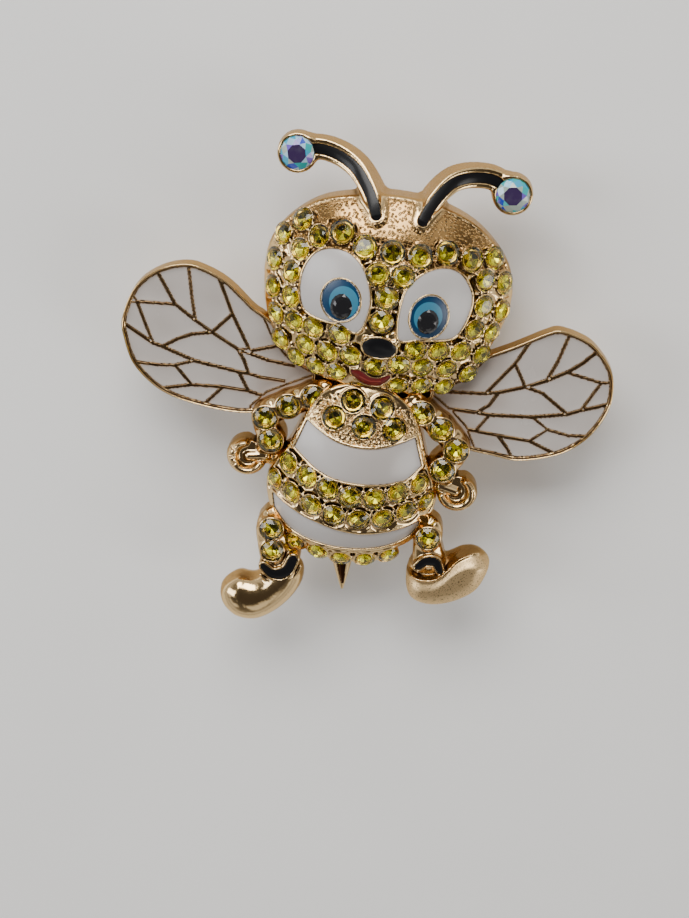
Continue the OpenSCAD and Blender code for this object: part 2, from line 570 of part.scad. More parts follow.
module antenna(rows) {
    ribbon(antenna_path(rows, 0, 0), antenna_w, 0);
    tip = on_head(rows)[0];
    translate([tip.x, tip.y, back_z]) cylinder(h = antenna_t + 0.1, d = tip_stone_d + 2 * rim_w, $fn = 18);
}

module antenna_channel(rows) {
    ribbon(antenna_path(channel_rows(rows), -pool_depth, cut), channel_w, 0);
}

module antenna_enamel(rows) {
    ribbon(inner_path(antenna_path(channel_rows(rows), -pool_depth + pool_gap, -pool_drop)),
        channel_w - 2 * pool_gap, 0);
}

// The iris and nose rims, the pools of the face and their walls
function face_oval(row) = oval(row, head_at, head_half, 16);

module rim(loop) {
    patch(grown(loop, rim_w), head_z, -1, rim_h, 1, 1);
}

module pool(loop) {
    patch(loop, head_z, rim_h - pool_depth, rim_h + 1, 1, 1);
}

module fill(loop) {
    patch(grown(loop, -pool_gap), head_z, rim_h - pool_depth + pool_gap, rim_h - pool_drop, 2, 3);
}

module oval_post(row, growth) {
    translate([0, 0, back_z]) linear_extrude(head_t + cut) polygon(grown(face_oval(row), growth));
}

module eye_pools(loop, iris) {
    difference() {
        pool(loop);
        oval_post(iris, rim_w / 2);
    }
    pool(face_oval(iris));
}

module eye_white(loop, iris) {
    difference() {
        fill(loop);
        oval_post(iris, rim_w / 2 + pool_gap);
    }
}

module iris(row, pupil) {
    difference() {
        fill(face_oval(row));
        oval_post(pupil, seat_gap);
    }
}

module pupil(row) {
    at = [head_at.x + row[0] * head_half.x, head_at.y + row[1] * head_half.y];
    wide = row[2] * head_half.x;
    long = row[3] * head_half.y;
    low = head_z(at.x, at.y) + rim_h - pool_depth + 0.2;
    skin([for (r = [[0.5, 0.75], [1, 0.45], [1, 0]]) [for (i = [0:11])
        [at.x + wide * r[0] * cos(30 * i), at.y + long * r[0] * sin(30 * i), low + r[1]]]]);
}

module pupil_seat(row) {
    at = [head_at.x + row[0] * head_half.x, head_at.y + row[1] * head_half.y];
    translate([0, 0, head_z(at.x, at.y) + rim_h - pool_depth + 0.1]) linear_extrude(cut)
        polygon(grown(face_oval(row), seat_gap));
}

function edge_line(rows, at, half) = smooth_line(placed(rows, at, half), 2);

module body_band(top, bottom, low, high, inset) {
    band(edge_line(top, body_at, body_half), edge_line(bottom, body_at, body_half), body_z, low, high,
        inset);
}

module belly_band(top, bottom) {
    body_band(top, bottom, -pool_depth + pool_gap, -pool_drop, pool_gap);
}

module mouth_sheet(low, high, inset) {
    top = edge_line(mouth_top, head_at, head_half);
    bottom = edge_line(mouth_bottom, head_at, head_half);
    band(top, bottom, head_z, low, high, inset);
}

// A cup that holds one stone at the tail
module cup(seat) {
    stand_on(seat) translate([0, 0, -2]) cylinder(h = 2, d = seat[2] + 2.4 * rim_w, $fn = 8);
}

module sting() {
    root = tail_seats[2][0];
    hull() {
        translate([root.x + 0.05 * sting_l, root.y - 0.15 * sting_l, root.z - 2])
            sphere(d = sting_w, $fn = 12);
        translate([root.x + 0.2 * sting_l, root.y - sting_l, root.z - 2.2]) sphere(d = 0.3, $fn = 8);
    }
}

module hollow(loop, share) {
    c = middle(loop);
    translate([0, 0, back_z - 1]) linear_extrude(hollow_depth + 1)
        polygon([for (i = [0:2:len(loop) - 1]) mix(c, loop[i], share)]);
}

module figure() {
    dome(head_loop, head_z, back_z, 3);
    dome(body_loop, body_z, back_z, 3);
    for (side = [-1, 1]) {
        translate([0, 0, back_z]) linear_extrude(wing_t) wing_shape(side);
        arm(side);
    }
    for (s = tail_seats) {
        cup(s);
    }
    sting();
    hand(left_hand, 85, 250);
    hand(right_hand, 95, -250);
    leg(left_leg);
    leg(right_leg);
    boot(left_boot, left_boot_outline);
    boot(right_boot, right_boot_outline);
    sock_collar(left_sock);
    sock_collar(right_sock);
    antenna(left_antenna);
    antenna(right_antenna);
    rim(left_eye_loop);
    rim(right_eye_loop);
    rim(face_oval(nose_oval));
}

module casting() {
    color(gold) difference() {
        figure();
        for (list = [head_seats, chest_seats, belly_seats, tail_seats, left_arm_set, right_arm_set,
            left_leg_set, right_leg_set, left_tip_set, right_tip_set]) {
            seats(list);
        }
        for (side = [-1, 1]) {
            translate([0, 0, back_z + wing_t - pool_depth])
                linear_extrude(pool_depth + 0.5) wing_cells(side);
        }
        eye_pools(left_eye_loop, left_iris_oval);
        eye_pools(right_eye_loop, right_iris_oval);
        pupil_seat(left_pupil_oval);
        pupil_seat(right_pupil_oval);
        pool(face_oval(nose_oval));
        mouth_sheet(-pool_depth, 1, 0);
        body_band(upper_band_top, upper_band_bottom, -pool_depth, 1, 0);
        body_band(lower_band_top, lower_band_bottom, -pool_depth, 1, 0);
        antenna_channel(left_antenna);
        antenna_channel(right_antenna);
        sock_groove(left_sock);
        sock_groove(right_sock);
        hollow(head_loop, 0.7);
        hollow(body_loop, 0.66);
    }
}

module pin_back() {
    bar_top = back_z - bar_gap;
    block_x = pin_bar_l / 2 - pin_block_l / 2;
    color(steel) {
        translate([-pin_bar_l / 2, -pin_bar_w / 2, bar_top - pin_bar_t])
            cube([pin_bar_l, pin_bar_w, pin_bar_t]);
        for (side = [-1, 1]) {
            translate([side * block_x - pin_block_l / 2, -pin_bar_w / 2, 0])
                cube([pin_block_l, pin_bar_w, bar_top - pin_bar_t / 2]);
        }
        translate([-block_x, 0, pin_stem_h]) rotate([0, 90, 0])
            cylinder(h = 2 * block_x, d = pin_stem_d, $fn = 24);
    }
}

module head_stones() {
    color(citrine) stones(head_seats);
}

module chest_stones() {
    color(citrine) stones(chest_seats);
}

module belly_stones() {
    color(citrine) stones(belly_seats);
}

module tail_stones() {
    color(citrine) stones(tail_seats);
}

module left_arm_stones() {
    color(citrine) stones(left_arm_set);
}

module right_arm_stones() {
    color(citrine) stones(right_arm_set);
}

module left_leg_stones() {
    color(citrine) stones(left_leg_set);
}

module right_leg_stone() {
    color(citrine) stones(right_leg_set);
}

module left_antenna_stone() {
    color(crystal) stones(left_tip_set);
}

module right_antenna_stone() {
    color(crystal) stones(right_tip_set);
}

module left_eye_white() {
    color(pearl) eye_white(left_eye_loop, left_iris_oval);
}

module right_eye_white() {
    color(pearl) eye_white(right_eye_loop, right_iris_oval);
}

module left_iris() {
    color(sky) iris(left_iris_oval, left_pupil_oval);
}

module right_iris() {
    color(sky) iris(right_iris_oval, right_pupil_oval);
}

module left_pupil() {
    color(ink) pupil(left_pupil_oval);
}

module right_pupil() {
    color(ink) pupil(right_pupil_oval);
}

module nose_enamel() {
    color(ink) fill(face_oval(nose_oval));
}

module mouth_enamel() {
    color(ruby) mouth_sheet(-pool_depth + pool_gap, -pool_drop, pool_gap);
}

module upper_belly_band() {
    color(pearl) belly_band(upper_band_top, upper_band_bottom);
}

module lower_belly_band() {
    color(pearl) belly_band(lower_band_top, lower_band_bottom);
}

module left_wing_enamel() {
    color(pearl) wing_enamel(-1);
}

module right_wing_enamel() {
    color(pearl) wing_enamel(1);
}

module left_antenna_enamel() {
    color(ink) antenna_enamel(left_antenna);
}

module right_antenna_enamel() {
    color(ink) antenna_enamel(right_antenna);
}

module left_sock_enamel() {
    color(ink) sock_enamel(left_sock);
}

module right_sock_enamel() {
    color(ink) sock_enamel(right_sock);
}

casting();
pin_back();
head_stones();
chest_stones();
belly_stones();
tail_stones();
left_arm_stones();
right_arm_stones();
left_leg_stones();
right_leg_stone();
left_antenna_stone();
right_antenna_stone();
left_eye_white();
right_eye_white();
left_iris();
right_iris();
left_pupil();
right_pupil();
nose_enamel();
mouth_enamel();
upper_belly_band();
lower_belly_band();
left_wing_enamel();
right_wing_enamel();
left_antenna_enamel();
right_antenna_enamel();
left_sock_enamel();
right_sock_enamel();
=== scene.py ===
"""Looks of a bee brooch on its CAD frame: plated casting, foiled glass stones, poured enamel and its pin."""

import logging
from dataclasses import dataclass, field
from enum import Enum
from typing import Any, Callable, Sequence

import bmesh
import bpy
import numpy as np
from mathutils import Matrix, Vector


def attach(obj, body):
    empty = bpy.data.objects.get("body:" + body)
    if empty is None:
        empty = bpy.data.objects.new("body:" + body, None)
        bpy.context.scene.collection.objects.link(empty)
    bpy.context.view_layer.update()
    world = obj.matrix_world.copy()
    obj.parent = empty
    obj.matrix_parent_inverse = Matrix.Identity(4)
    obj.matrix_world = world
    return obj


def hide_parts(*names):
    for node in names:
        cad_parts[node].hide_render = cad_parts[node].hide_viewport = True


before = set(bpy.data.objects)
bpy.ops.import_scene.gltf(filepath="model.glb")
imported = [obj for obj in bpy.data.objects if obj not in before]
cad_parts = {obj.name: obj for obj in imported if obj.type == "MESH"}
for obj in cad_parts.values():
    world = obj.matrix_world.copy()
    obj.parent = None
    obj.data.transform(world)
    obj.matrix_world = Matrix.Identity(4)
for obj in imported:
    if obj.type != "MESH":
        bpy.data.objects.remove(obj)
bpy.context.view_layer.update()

MM = 0.001
BACK = 7.0  # height of the casting's flat back
POOL = 0.7  # depth of the bands' and antennae's pools
DROP = 0.08  # how far the wings' enamel lies under their veins
HOLLOW = 2.8  # depth of the hollows in the back
SINK = 0.32  # how far a dome is sunk between its stones
RING = (1.35, 1.9)  # distances from a stone's middle over which the dome sinks
FIELD_LOW = 6.6  # lowest height in a casting's field
FAR = 3.0  # distance that an empty field holds
STEEP = 0.45  # a metal wall's normal points up by less than this
NECK = np.array([-0.7, 0.3])
CROWN = np.array([-0.2, 21.5])
Array = np.ndarray
Colour = tuple[float, float, float]
Height = Callable[[Array, Array], tuple[Array, Array]]
Fill = Callable[[Array, Array, Array], Array]
log = logging.getLogger("bee")


# Outlines and lines of the figure, as shares: of half the size for the head, body and boots, and of the length
# and half the width for the wings. An oval is its middle and its half axes.
HEAD_LOOP = [(1.01, 0.03), (0.93, 0.45), (0.66, 0.79), (0.34, 0.96), (0, 1.01), (-0.33, 0.96), (-0.67, 0.82),
             (-0.94, 0.49), (-1.03, 0.10), (-0.95, -0.47), (-0.72, -0.86), (-0.36, -1.00), (0, -0.99),
             (0.34, -1.01), (0.67, -0.86), (0.90, -0.45)]
BODY_LOOP = [(1.00, -0.33), (0.92, -0.06), (0.80, 0.20), (0.65, 0.58), (0.40, 0.88), (0, 1.00), (-0.44, 0.86),
             (-0.66, 0.50), (-0.78, 0.16), (-0.91, -0.08), (-1.00, -0.37), (-0.90, -0.72), (-0.70, -0.92),
             (-0.36, -1.01), (0.02, -1.02), (0.42, -0.97), (0.76, -0.84), (0.92, -0.62)]
EYE = {
    "left": [(-0.13, -0.08), (-0.16, 0.14), (-0.24, 0.32), (-0.36, 0.42), (-0.50, 0.42), (-0.62, 0.33),
             (-0.69, 0.14), (-0.69, -0.08), (-0.63, -0.25), (-0.48, -0.30), (-0.34, -0.30), (-0.19, -0.35)],
    "right": [(0.65, 0.20), (0.54, 0.37), (0.40, 0.41), (0.26, 0.34), (0.15, 0.18), (0.12, 0), (0.12, -0.20),
              (0.15, -0.36), (0.28, -0.34), (0.43, -0.32), (0.57, -0.29), (0.63, -0.18), (0.67, 0.02)]}
IRIS = {"left": (-0.36, -0.055, 0.155, 0.215), "right": (0.35, -0.085, 0.15, 0.225)}
PUPIL = {"left": (-0.338, -0.112, 0.098, 0.132), "right": (0.34, -0.13, 0.094, 0.128)}
NOSE = (0, -0.485, 0.135, 0.11)
MOUTH = ([(-0.20, -0.80), (-0.12, -0.79), (-0.03, -0.85), (0.05, -0.84), (0.12, -0.78)],
         [(-0.19, -0.84), (-0.12, -0.91), (-0.03, -0.95), (0.06, -0.93), (0.13, -0.82)])
# A painted highlight along the mouth, in shares of the head's half sizes
MOUTH_GLINT = [(-0.115, -0.86), (-0.03, -0.895), (0.055, -0.88)]
BANDS = {
    "upper": ([(-0.62, 0.49), (-0.47, 0.42), (-0.28, 0.35), (-0.06, 0.32), (0.16, 0.33), (0.37, 0.38),
               (0.62, 0.48)],
              [(-0.72, 0.15), (-0.45, 0), (-0.22, -0.07), (0.12, -0.08), (0.40, -0.05), (0.60, 0),
               (0.75, 0.15)]),
    "lower": ([(-0.90, -0.50), (-0.76, -0.55), (-0.55, -0.62), (-0.31, -0.67), (-0.08, -0.71), (0.21, -0.72),
               (0.49, -0.67), (0.70, -0.61), (0.84, -0.55)],
              [(-0.86, -0.67), (-0.70, -0.82), (-0.51, -0.91), (-0.23, -0.95), (0.06, -0.95), (0.35, -0.91),
               (0.56, -0.85), (0.74, -0.75), (0.84, -0.61)])}
WING = {
    "left": [(0.28, 0.45), (0.35, 0.55), (0.48, 0.82), (0.60, 0.96), (0.71, 1.0), (0.84, 0.87), (0.95, 0.58),
             (1.0, 0.11), (0.98, -0.18), (0.92, -0.52), (0.81, -0.78), (0.70, -0.91), (0.55, -0.98), (0.39, -1.0),
             (0.26, -0.95), (0.10, -0.80), (0, -0.50), (0, -0.15), (0.12, 0.17)],
    "right": [(0.27, 0.48), (0.41, 0.68), (0.56, 0.92), (0.64, 1.0), (0.77, 0.94), (0.86, 0.82), (0.965, 0.53),
              (1.0, 0.18), (0.985, -0.13), (0.92, -0.47), (0.82, -0.73), (0.70, -0.89), (0.54, -1.0),
              (0.40, -0.98), (0.26, -0.95), (0.13, -0.84), (0, -0.52), (0, -0.08), (0.105, 0.23)]}
BOOT = {
    "left": [(1.0, 0.47), (0.90, 0.93), (0.48, 1.0), (0.06, 0.66), (-0.23, 0.38), (-0.60, 0.37), (-0.90, 0.10),
             (-1.0, -0.24), (-0.88, -0.63), (-0.52, -0.93), (-0.02, -0.93), (0.44, -0.60), (0.81, -0.09)],
    "right": [(1.0, 0.24), (0.98, 0.62), (0.68, 0.86), (0.30, 0.82), (-0.09, 0.56), (-0.49, 0.55), (-0.92, 0.29),
              (-0.94, -0.33), (-0.77, -0.79), (-0.30, -0.93), (0.26, -0.76), (0.79, -0.33)]}
# The arms run through points in millimetres from the neck, with the share of their thickness
ARM = {"left": [(-4.6, -1.7, 1), (-8.4, -3.85, 1), (-10.75, -5.6, 1), (-9.8, -8.1, 1), (-9.75, -9.4, 1),
                (-9.6, -10.3, 0.6)],
       "right": [(5.3, -1.5, 1), (8.8, -3.75, 1), (10.85, -5.9, 1), (9.75, -8.45, 1), (9.5, -9.7, 1),
                 (9.3, -10.7, 0.6)]}
# The legs too, with their half width and the share of their thickness
LEG = {"left": [(-7.0, -17.2, 1.32, 0.4), (-8.35, -18.5, 1.72, 1), (-7.8, -21.3, 1.75, 1),
                (-7.0, -22.8, 2.1, 1)],
       "right": [(7.7, -15.6, 1.32, 0.4), (9.4, -16.1, 1.57, 1), (9.5, -17.6, 1.6, 1), (10.1, -20.0, 1.9, 1)]}
SOCK = {"left": [(-8.6, -23.3), (-7.3, -24.1), (-5.9, -23.5), (-5.3, -21.9)],
        "right": [(8.9, -20.4), (9.7, -19.6), (10.8, -19.5), (11.5, -20.5)]}
SOLE = [(7.0, -21.4), (8.22, -21.72), (9.68, -21.83), (11.17, -21.46), (12.3, -20.29), (13.38, -18.9),
        (14.78, -18.06), (16.08, -17.95), (17.2, -18.3)]
# Antennae: right of the middle of the crown and up in millimetres, and the share of the rise, tip first
ANTENNA = {"left": [(-11.8, 2.6, 0), (-9.9, 3.35, 0), (-7.6, 3.15, 0.1), (-5.5, 2.2, 0.3), (-4.0, 0.7, 0.6),
                    (-2.95, -0.9, 0.85), (-2.3, -2.6, 1)],
           "right": [(11.5, 1.7, 0), (9.5, 2.9, 0), (7.3, 3.0, 0.1), (5.3, 2.4, 0.3), (4.0, 1.2, 0.55),
                     (2.9, -0.6, 0.8), (2.2, -2.6, 1)]}
# Root and size of each wing, the middle of each boot, and each hand's middle, first angle and sweep
WING_SIZE = {"left": (-6.8, 2.25, 22.0, 16.2), "right": (6.4, 1.6, 19.9, 15.8)}
BOOT_AT = {"left": (-8.6, -26.9), "right": (12.3, -21.5)}
HAND = {"left": ((-12.2, -10.8), 105, 235), "right": ((11.8, -11.2), 62, -222)}
# Corners of the fields of the limbs, but for the lowest height
LIMB_BOX = {"left": {"arm": ((-16, -14), (-4, 0.5, 11.6)), "leg": ((-15.4, -31.6), (-3.5, -13.6, 12.4))},
            "right": {"arm": ((3, -14), (15, 0.5, 11.6)), "leg": ((4.6, -26.6), (17.4, -11.6, 12.4))}}


def from_neck(rows: Sequence[Sequence[float]]) -> Array:
    """Rows whose first two columns are moved from the neck to the frame's own zero."""
    out = np.array(rows, float)
    out[:, :2] += NECK
    return out


def spline(points: Sequence[Sequence[float]], steps: int, closed: bool) -> Array:
    """A smooth curve through points.

    Args:
        points: The points that it runs through.
        steps: Stretches between two points.
        closed: True for a loop.

    Returns:
        One row for each point of the curve.
    """
    p = np.array(points, float)
    if closed:
        p = np.vstack([p[-1], p, p[0], p[1]])
    else:
        p = np.vstack([2 * p[0] - p[1], p, 2 * p[-1] - p[-2]])
    t = (np.arange(steps) / steps)[:, None]
    rows = [0.5 * (2 * b + (c - a) * t + (2 * a - 5 * b + 4 * c - d) * t ** 2 + (3 * b - a - 3 * c + d) * t ** 3)
            for a, b, c, d in zip(p, p[1:], p[2:], p[3:])]
    return np.vstack(rows if closed else rows + [p[-2:-1]])


def grown(loop: Array, distance: float) -> Array:
    """An anticlockwise loop moved outwards by a distance."""
    t = np.roll(loop, -1, 0) - np.roll(loop, 1, 0)
    t /= np.linalg.norm(t, axis=1)[:, None]
    return loop + distance * np.stack([t[:, 1], -t[:, 0]], 1)


def soft_min(a: Array, b: Array, blend: float) -> Array:
    """The smaller of two values, rounded where they come within blend of each other."""
    if blend <= 0:
        return np.minimum(a, b)
    h = np.maximum(blend - np.abs(a - b), 0) / blend
    return np.minimum(a, b) - h * h * blend / 4


def soft_max(a: Array, b: Array, blend: float) -> Array:
    """The larger of two values, rounded where they come within blend of each other."""
    return -soft_min(-a, -b, blend)


def step_up(value: Array, low: float, high: float) -> Array:
    """A smooth step from 0 at low to 1 at high."""
    t = np.clip((value - low) / (high - low), 0, 1)
    return t * t * (3 - 2 * t)


class Side(Enum):
    """A side of the figure as the viewer sees it."""
    LEFT = "left"
    RIGHT = "right"

    @property
    def sign(self) -> int:
        """-1 on the left and 1 on the right."""
        return -1 if self is Side.LEFT else 1


@dataclass(frozen=True)
class RoundBack:
    """A dome that falls off sideways on one radius and lengthways on two.

    Attributes:
        x: Place of its crest sideways.
        y: Place of its crest lengthways.
        top: Height of its crest.
        side: Radius sideways.
        up: Radius towards the head.
        down: Radius towards the feet.
        half: Half of its width and of its length.
        middle: Middle of its outline.
    """
    x: float
    y: float
    top: float
    side: float
    up: float
    down: float
    half: tuple[float, float]
    middle: tuple[float, float]

    def height(self, x: Array, y: Array, rise: float | Array = 0.0) -> tuple[Array, Array]:
        """Height over a place, and the cosine of the slope there.

        Args:
            x: Places sideways.
            y: Places lengthways.
            rise: What is added to the height.

        Returns:
            The heights and the cosines.
        """
        r = np.where(y > self.y, self.up, self.down)
        u = np.clip(x - self.x, -0.97 * self.side, 0.97 * self.side)
        v = np.clip(y - self.y, -0.97 * r, 0.97 * r)
        a, b = np.sqrt(self.side ** 2 - u ** 2), np.sqrt(r ** 2 - v ** 2)
        return self.top - self.side + a - r + b + rise, 1 / np.sqrt(1 + (u / a) ** 2 + (v / b) ** 2)

    def surface(self, x: Array, y: Array) -> Array:
        """Height over a place."""
        return self.height(x, y)[0]

    def over(self, rise: float) -> Height:
        """The dome's height with something added."""
        return lambda x, y: self.height(x, y, rise)

    def placed(self, shares: Sequence[tuple[float, float]]) -> Array:
        """Shares of the half sizes turned into millimetres."""
        return np.array(self.middle) + np.array(shares, float) * np.array(self.half)

    def oval(self, row: tuple[float, float, float, float], grow: float = 0.0, count: int = 64) -> Array:
        """An oval given by its middle and its half axes in shares."""
        a = np.linspace(0, 2 * np.pi, count, endpoint=False)
        mid, half = self.placed([row[:2]])[0], np.array(row[2:]) * self.half + grow
        return mid + half * np.stack([np.cos(a), np.sin(a)], 1)


HEAD = RoundBack(-0.2, 10.9, 14.8, 17.492, 17.218, 20.003, (13.4, 10.6), (-0.2, 10.9))
BODY = RoundBack(-0.7, -9.502, 13.9, 11.761, 20.2, 20.2, (9.75, 10.1), (-0.7, -9.3))


class Flat:
    """A flat figure that knows the signed distance to its edge, negative inside."""

    def box(self) -> tuple[Array, Array]:
        """Its lowest and highest corner."""
        raise NotImplementedError

    def distance(self, x: Array, y: Array) -> Array:
        """Signed distance at each place."""
        raise NotImplementedError


def to_segments(x: Array, y: Array, a: Array, b: Array, values: Array | None = None) -> tuple[Array, Array]:
    """Distance from places to the nearest of some segments, with a value read off along them.

    Args:
        x: Places sideways.
        y: Places lengthways.
        a: First ends.
        b: Second ends.
        values: A value at each first and second end, or None.

    Returns:
        The distances and the values.
    """
    x, y = np.broadcast_arrays(x, y)
    best, value = np.full(x.shape, 1e9), np.zeros(x.shape)
    for i, (p, q) in enumerate(zip(a, b)):
        d = q - p
        t = np.clip(((x - p[0]) * d[0] + (y - p[1]) * d[1]) / max(d @ d, 1e-12), 0, 1)
        near = (x - p[0] - t * d[0]) ** 2 + (y - p[1] - t * d[1]) ** 2
        if values is not None:
            closer = near < best
            value[closer] = (values[i][0] + t * (values[i][1] - values[i][0]))[closer]
        best = np.minimum(best, near)
    return np.sqrt(best), value


@dataclass(frozen=True)
class Loops(Flat):
    """Closed outlines, given by the first and second ends of their edges."""
    a: Array
    b: Array

    @classmethod
    def of(cls, loop: Array) -> "Loops":
        """One outline through a row of points."""
        return cls(loop, np.roll(loop, -1, 0))

    def box(self) -> tuple[Array, Array]:
        """Its lowest and highest corner."""
        return self.a.min(0), self.a.max(0)

    def distance(self, x: Array, y: Array) -> Array:
        """Signed distance at each place."""
        near, _ = to_segments(x, y, self.a, self.b)
        x, y = np.broadcast_arrays(x, y)
        odd = np.zeros(x.shape, bool)
        for p, q in zip(self.a, self.b):
            if p[1] != q[1]:
                odd ^= ((p[1] > y) != (q[1] > y)) & (x < p[0] + (y - p[1]) * (q[0] - p[0]) / (q[1] - p[1]))
        return np.where(odd, -near, near)


@dataclass(frozen=True)
class Stroke(Flat):
    """A line of a width that may change along it."""
    points: Array
    widths: Array

    def box(self) -> tuple[Array, Array]:
        """Its lowest and highest corner."""
        w = self.widths.max()
        return self.points[:, :2].min(0) - w, self.points[:, :2].max(0) + w

    def distance(self, x: Array, y: Array) -> Array:
        """Signed distance at each place."""
        near, half = self.read(x, y, self.widths)
        return near - half

    def read(self, x: Array, y: Array, values: Array) -> tuple[Array, Array]:
        """Distance to the middle line, and a value along it that is read off the nearest point."""
        pairs = np.stack([values[:-1], values[1:]], 1)
        p = self.points[:, :2]
        return to_segments(x, y, p[:-1], p[1:], pairs)


def outline_of(back: RoundBack, shares: Sequence[tuple[float, float]]) -> Loops:
    """A smooth outline through shares of a dome's half sizes."""
    return Loops.of(spline(back.placed(shares), 5, True))


def between(back: RoundBack, top: Sequence[tuple[float, float]], low: Sequence[tuple[float, float]],
            steps: int) -> Loops:
    """The outline between an upper and a lower line on a dome."""
    above, below = (spline(back.placed(row), steps, False) for row in (top, low))
    return Loops.of(np.vstack([below, above[::-1]]))


def level(z: float) -> Height:
    """A flat height."""
    return lambda x, y: (np.array(z), np.array(1.0))


def crowned(line: Stroke, tops: Array, drop: float) -> Height:
    """A height that falls off by drop from the middle of a line to its sides."""

    def top(x: Array, y: Array) -> tuple[Array, Array]:
        """Height over a place."""
        near, z = line.read(x, y, tops)
        half = line.read(x, y, line.widths)[1]
        return z - drop * np.minimum(near / half, 1.2) ** 2, np.array(0.85)

    return top


def beside(points: Array, x: Array, y: Array) -> tuple[Array, Array]:
    """Distance to the nearest of some places, and how far up from it a place lies."""
    near, up = np.full(np.broadcast(x, y).shape, 9.0), np.zeros(np.broadcast(x, y).shape)
    for p in points:
        d = np.hypot(x - p[0], y - p[1])
        up = np.where(d < near, y - p[1], up)
        near = np.minimum(near, d)
    return near, up


class Solid:
    """A form in space that knows the signed distance to its skin."""
    low: Array
    high: Array

    def distance(self, x: Array, y: Array, z: Array) -> Array:
        """Signed distance at each place."""
        raise NotImplementedError


class Slab(Solid):
    """A flat figure raised from a floor to a height, with a rounded top edge."""

    def __init__(self, flat: Flat, floor: float, top: Height, edge: float = 0.1, grow: float = 0.0,
                 draft: float = 0.0, reach: float = 16.0) -> None:
        """Keeps its sizes.

        Args:
            flat: The figure.
            floor: Height of its underside.
            top: Height of its top over each place.
            edge: Size of the rounding of the top edge.
            grow: How far the figure is grown.
            draft: How much a side leans in for each millimetre up.
            reach: The highest that its top gets.
        """
        self.flat, self.floor, self.top, self.edge, self.grow, self.draft = flat, floor, top, edge, grow, draft
        low, high = flat.box()
        self.low = np.array([*(low - abs(grow)), floor])
        self.high = np.array([*(high + abs(grow)), reach])

    def distance(self, x: Array, y: Array, z: Array) -> Array:
        """Signed distance at each place."""
        side = self.flat.distance(x, y) - self.grow + self.draft * (z - self.floor)
        top, lean = self.top(x, y)
        return np.maximum(soft_max(side, (z - top) * lean, self.edge), self.floor - z)


class Pit(Slab):
    """A flat figure sunk from above down to a floor that may curve."""

    def distance(self, x: Array, y: Array, z: Array) -> Array:
        """Signed distance at each place."""
        floor, lean = self.top(x, y)
        side = self.flat.distance(x, y) - self.grow
        return soft_max(side, (floor - z) * lean, self.edge)


class Pebble(Slab):
    """A raised figure whose side also leans in below its widest ring."""

    def distance(self, x: Array, y: Array, z: Array) -> Array:
        """Signed distance at each place."""
        top, lean = self.top(x, y)
        side = self.flat.distance(x, y) + self.grow * np.clip((self.floor + 1.9 - z) / 1.9, 0, 1) ** 2
        return np.maximum(soft_max(side, (z - top) * lean, self.edge), self.floor - z)


class Ridge(Slab):
    """A rounded wall that runs along a figure's edge, grow away from it, with edge as its radius."""

    def distance(self, x: Array, y: Array, z: Array) -> Array:
        """Signed distance at each place."""
        top, lean = self.top(x, y)
        side = np.abs(self.flat.distance(x, y) - self.grow)
        round_top = np.hypot(side, np.maximum((z - top) * lean + self.edge, 0)) - self.edge
        return np.maximum(round_top, self.floor - z)


class Ball(Solid):
    """A ball."""

    def __init__(self, at: Array, radius: float) -> None:
        """Keeps its middle and radius."""
        self.at, self.radius = np.array(at, float), radius
        self.low, self.high = self.at - radius, self.at + radius

    def distance(self, x: Array, y: Array, z: Array) -> Array:
        """Signed distance at each place."""
        return np.sqrt((x - self.at[0]) ** 2 + (y - self.at[1]) ** 2 + (z - self.at[2]) ** 2) - self.radius


class Tube(Solid):
    """Tapered rods with round ends along a line in space."""

    def __init__(self, points: Array, radii: Sequence[float]) -> None:
        """Keeps its line and radii."""
        self.points, self.radii = np.array(points, float), radii
        r = max(radii)
        self.low, self.high = self.points.min(0) - r, self.points.max(0) + r

    def distance(self, x: Array, y: Array, z: Array) -> Array:
        """Signed distance at each place."""
        best = 1e9
        for p, q, r, s in zip(self.points, self.points[1:], self.radii, self.radii[1:]):
            d = q - p
            t = np.clip(((x - p[0]) * d[0] + (y - p[1]) * d[1] + (z - p[2]) * d[2]) / (d @ d), 0, 1)
            near = np.sqrt((x - p[0] - t * d[0]) ** 2 + (y - p[1] - t * d[1]) ** 2 + (z - p[2] - t * d[2]) ** 2)
            best = np.minimum(best, near - r - t * (s - r))
        return best


@dataclass(frozen=True)
class Seat:
    """Where a stone sits: middle of its girdle, its axis, a direction across it and its diameter."""
    at: Array
    axis: Array
    across: Array
    diameter: float

    def local(self, x: Array, y: Array, z: Array) -> tuple[Array, Array]:
        """Distance from the seat's axis, and height along it."""
        u, v, w = x - self.at[0], y - self.at[1], z - self.at[2]
        h = u * self.axis[0] + v * self.axis[1] + w * self.axis[2]
        return np.sqrt(np.maximum(u * u + v * v + w * w - h * h, 0)), h

    def spot(self, radius: float, angle: float, height: float) -> Array:
        """A place given by radius, angle and height round the seat's axis."""
        side = np.cross(self.axis, self.across)
        return (self.at + radius * (np.cos(angle) * self.across + np.sin(angle) * side) + height * self.axis)


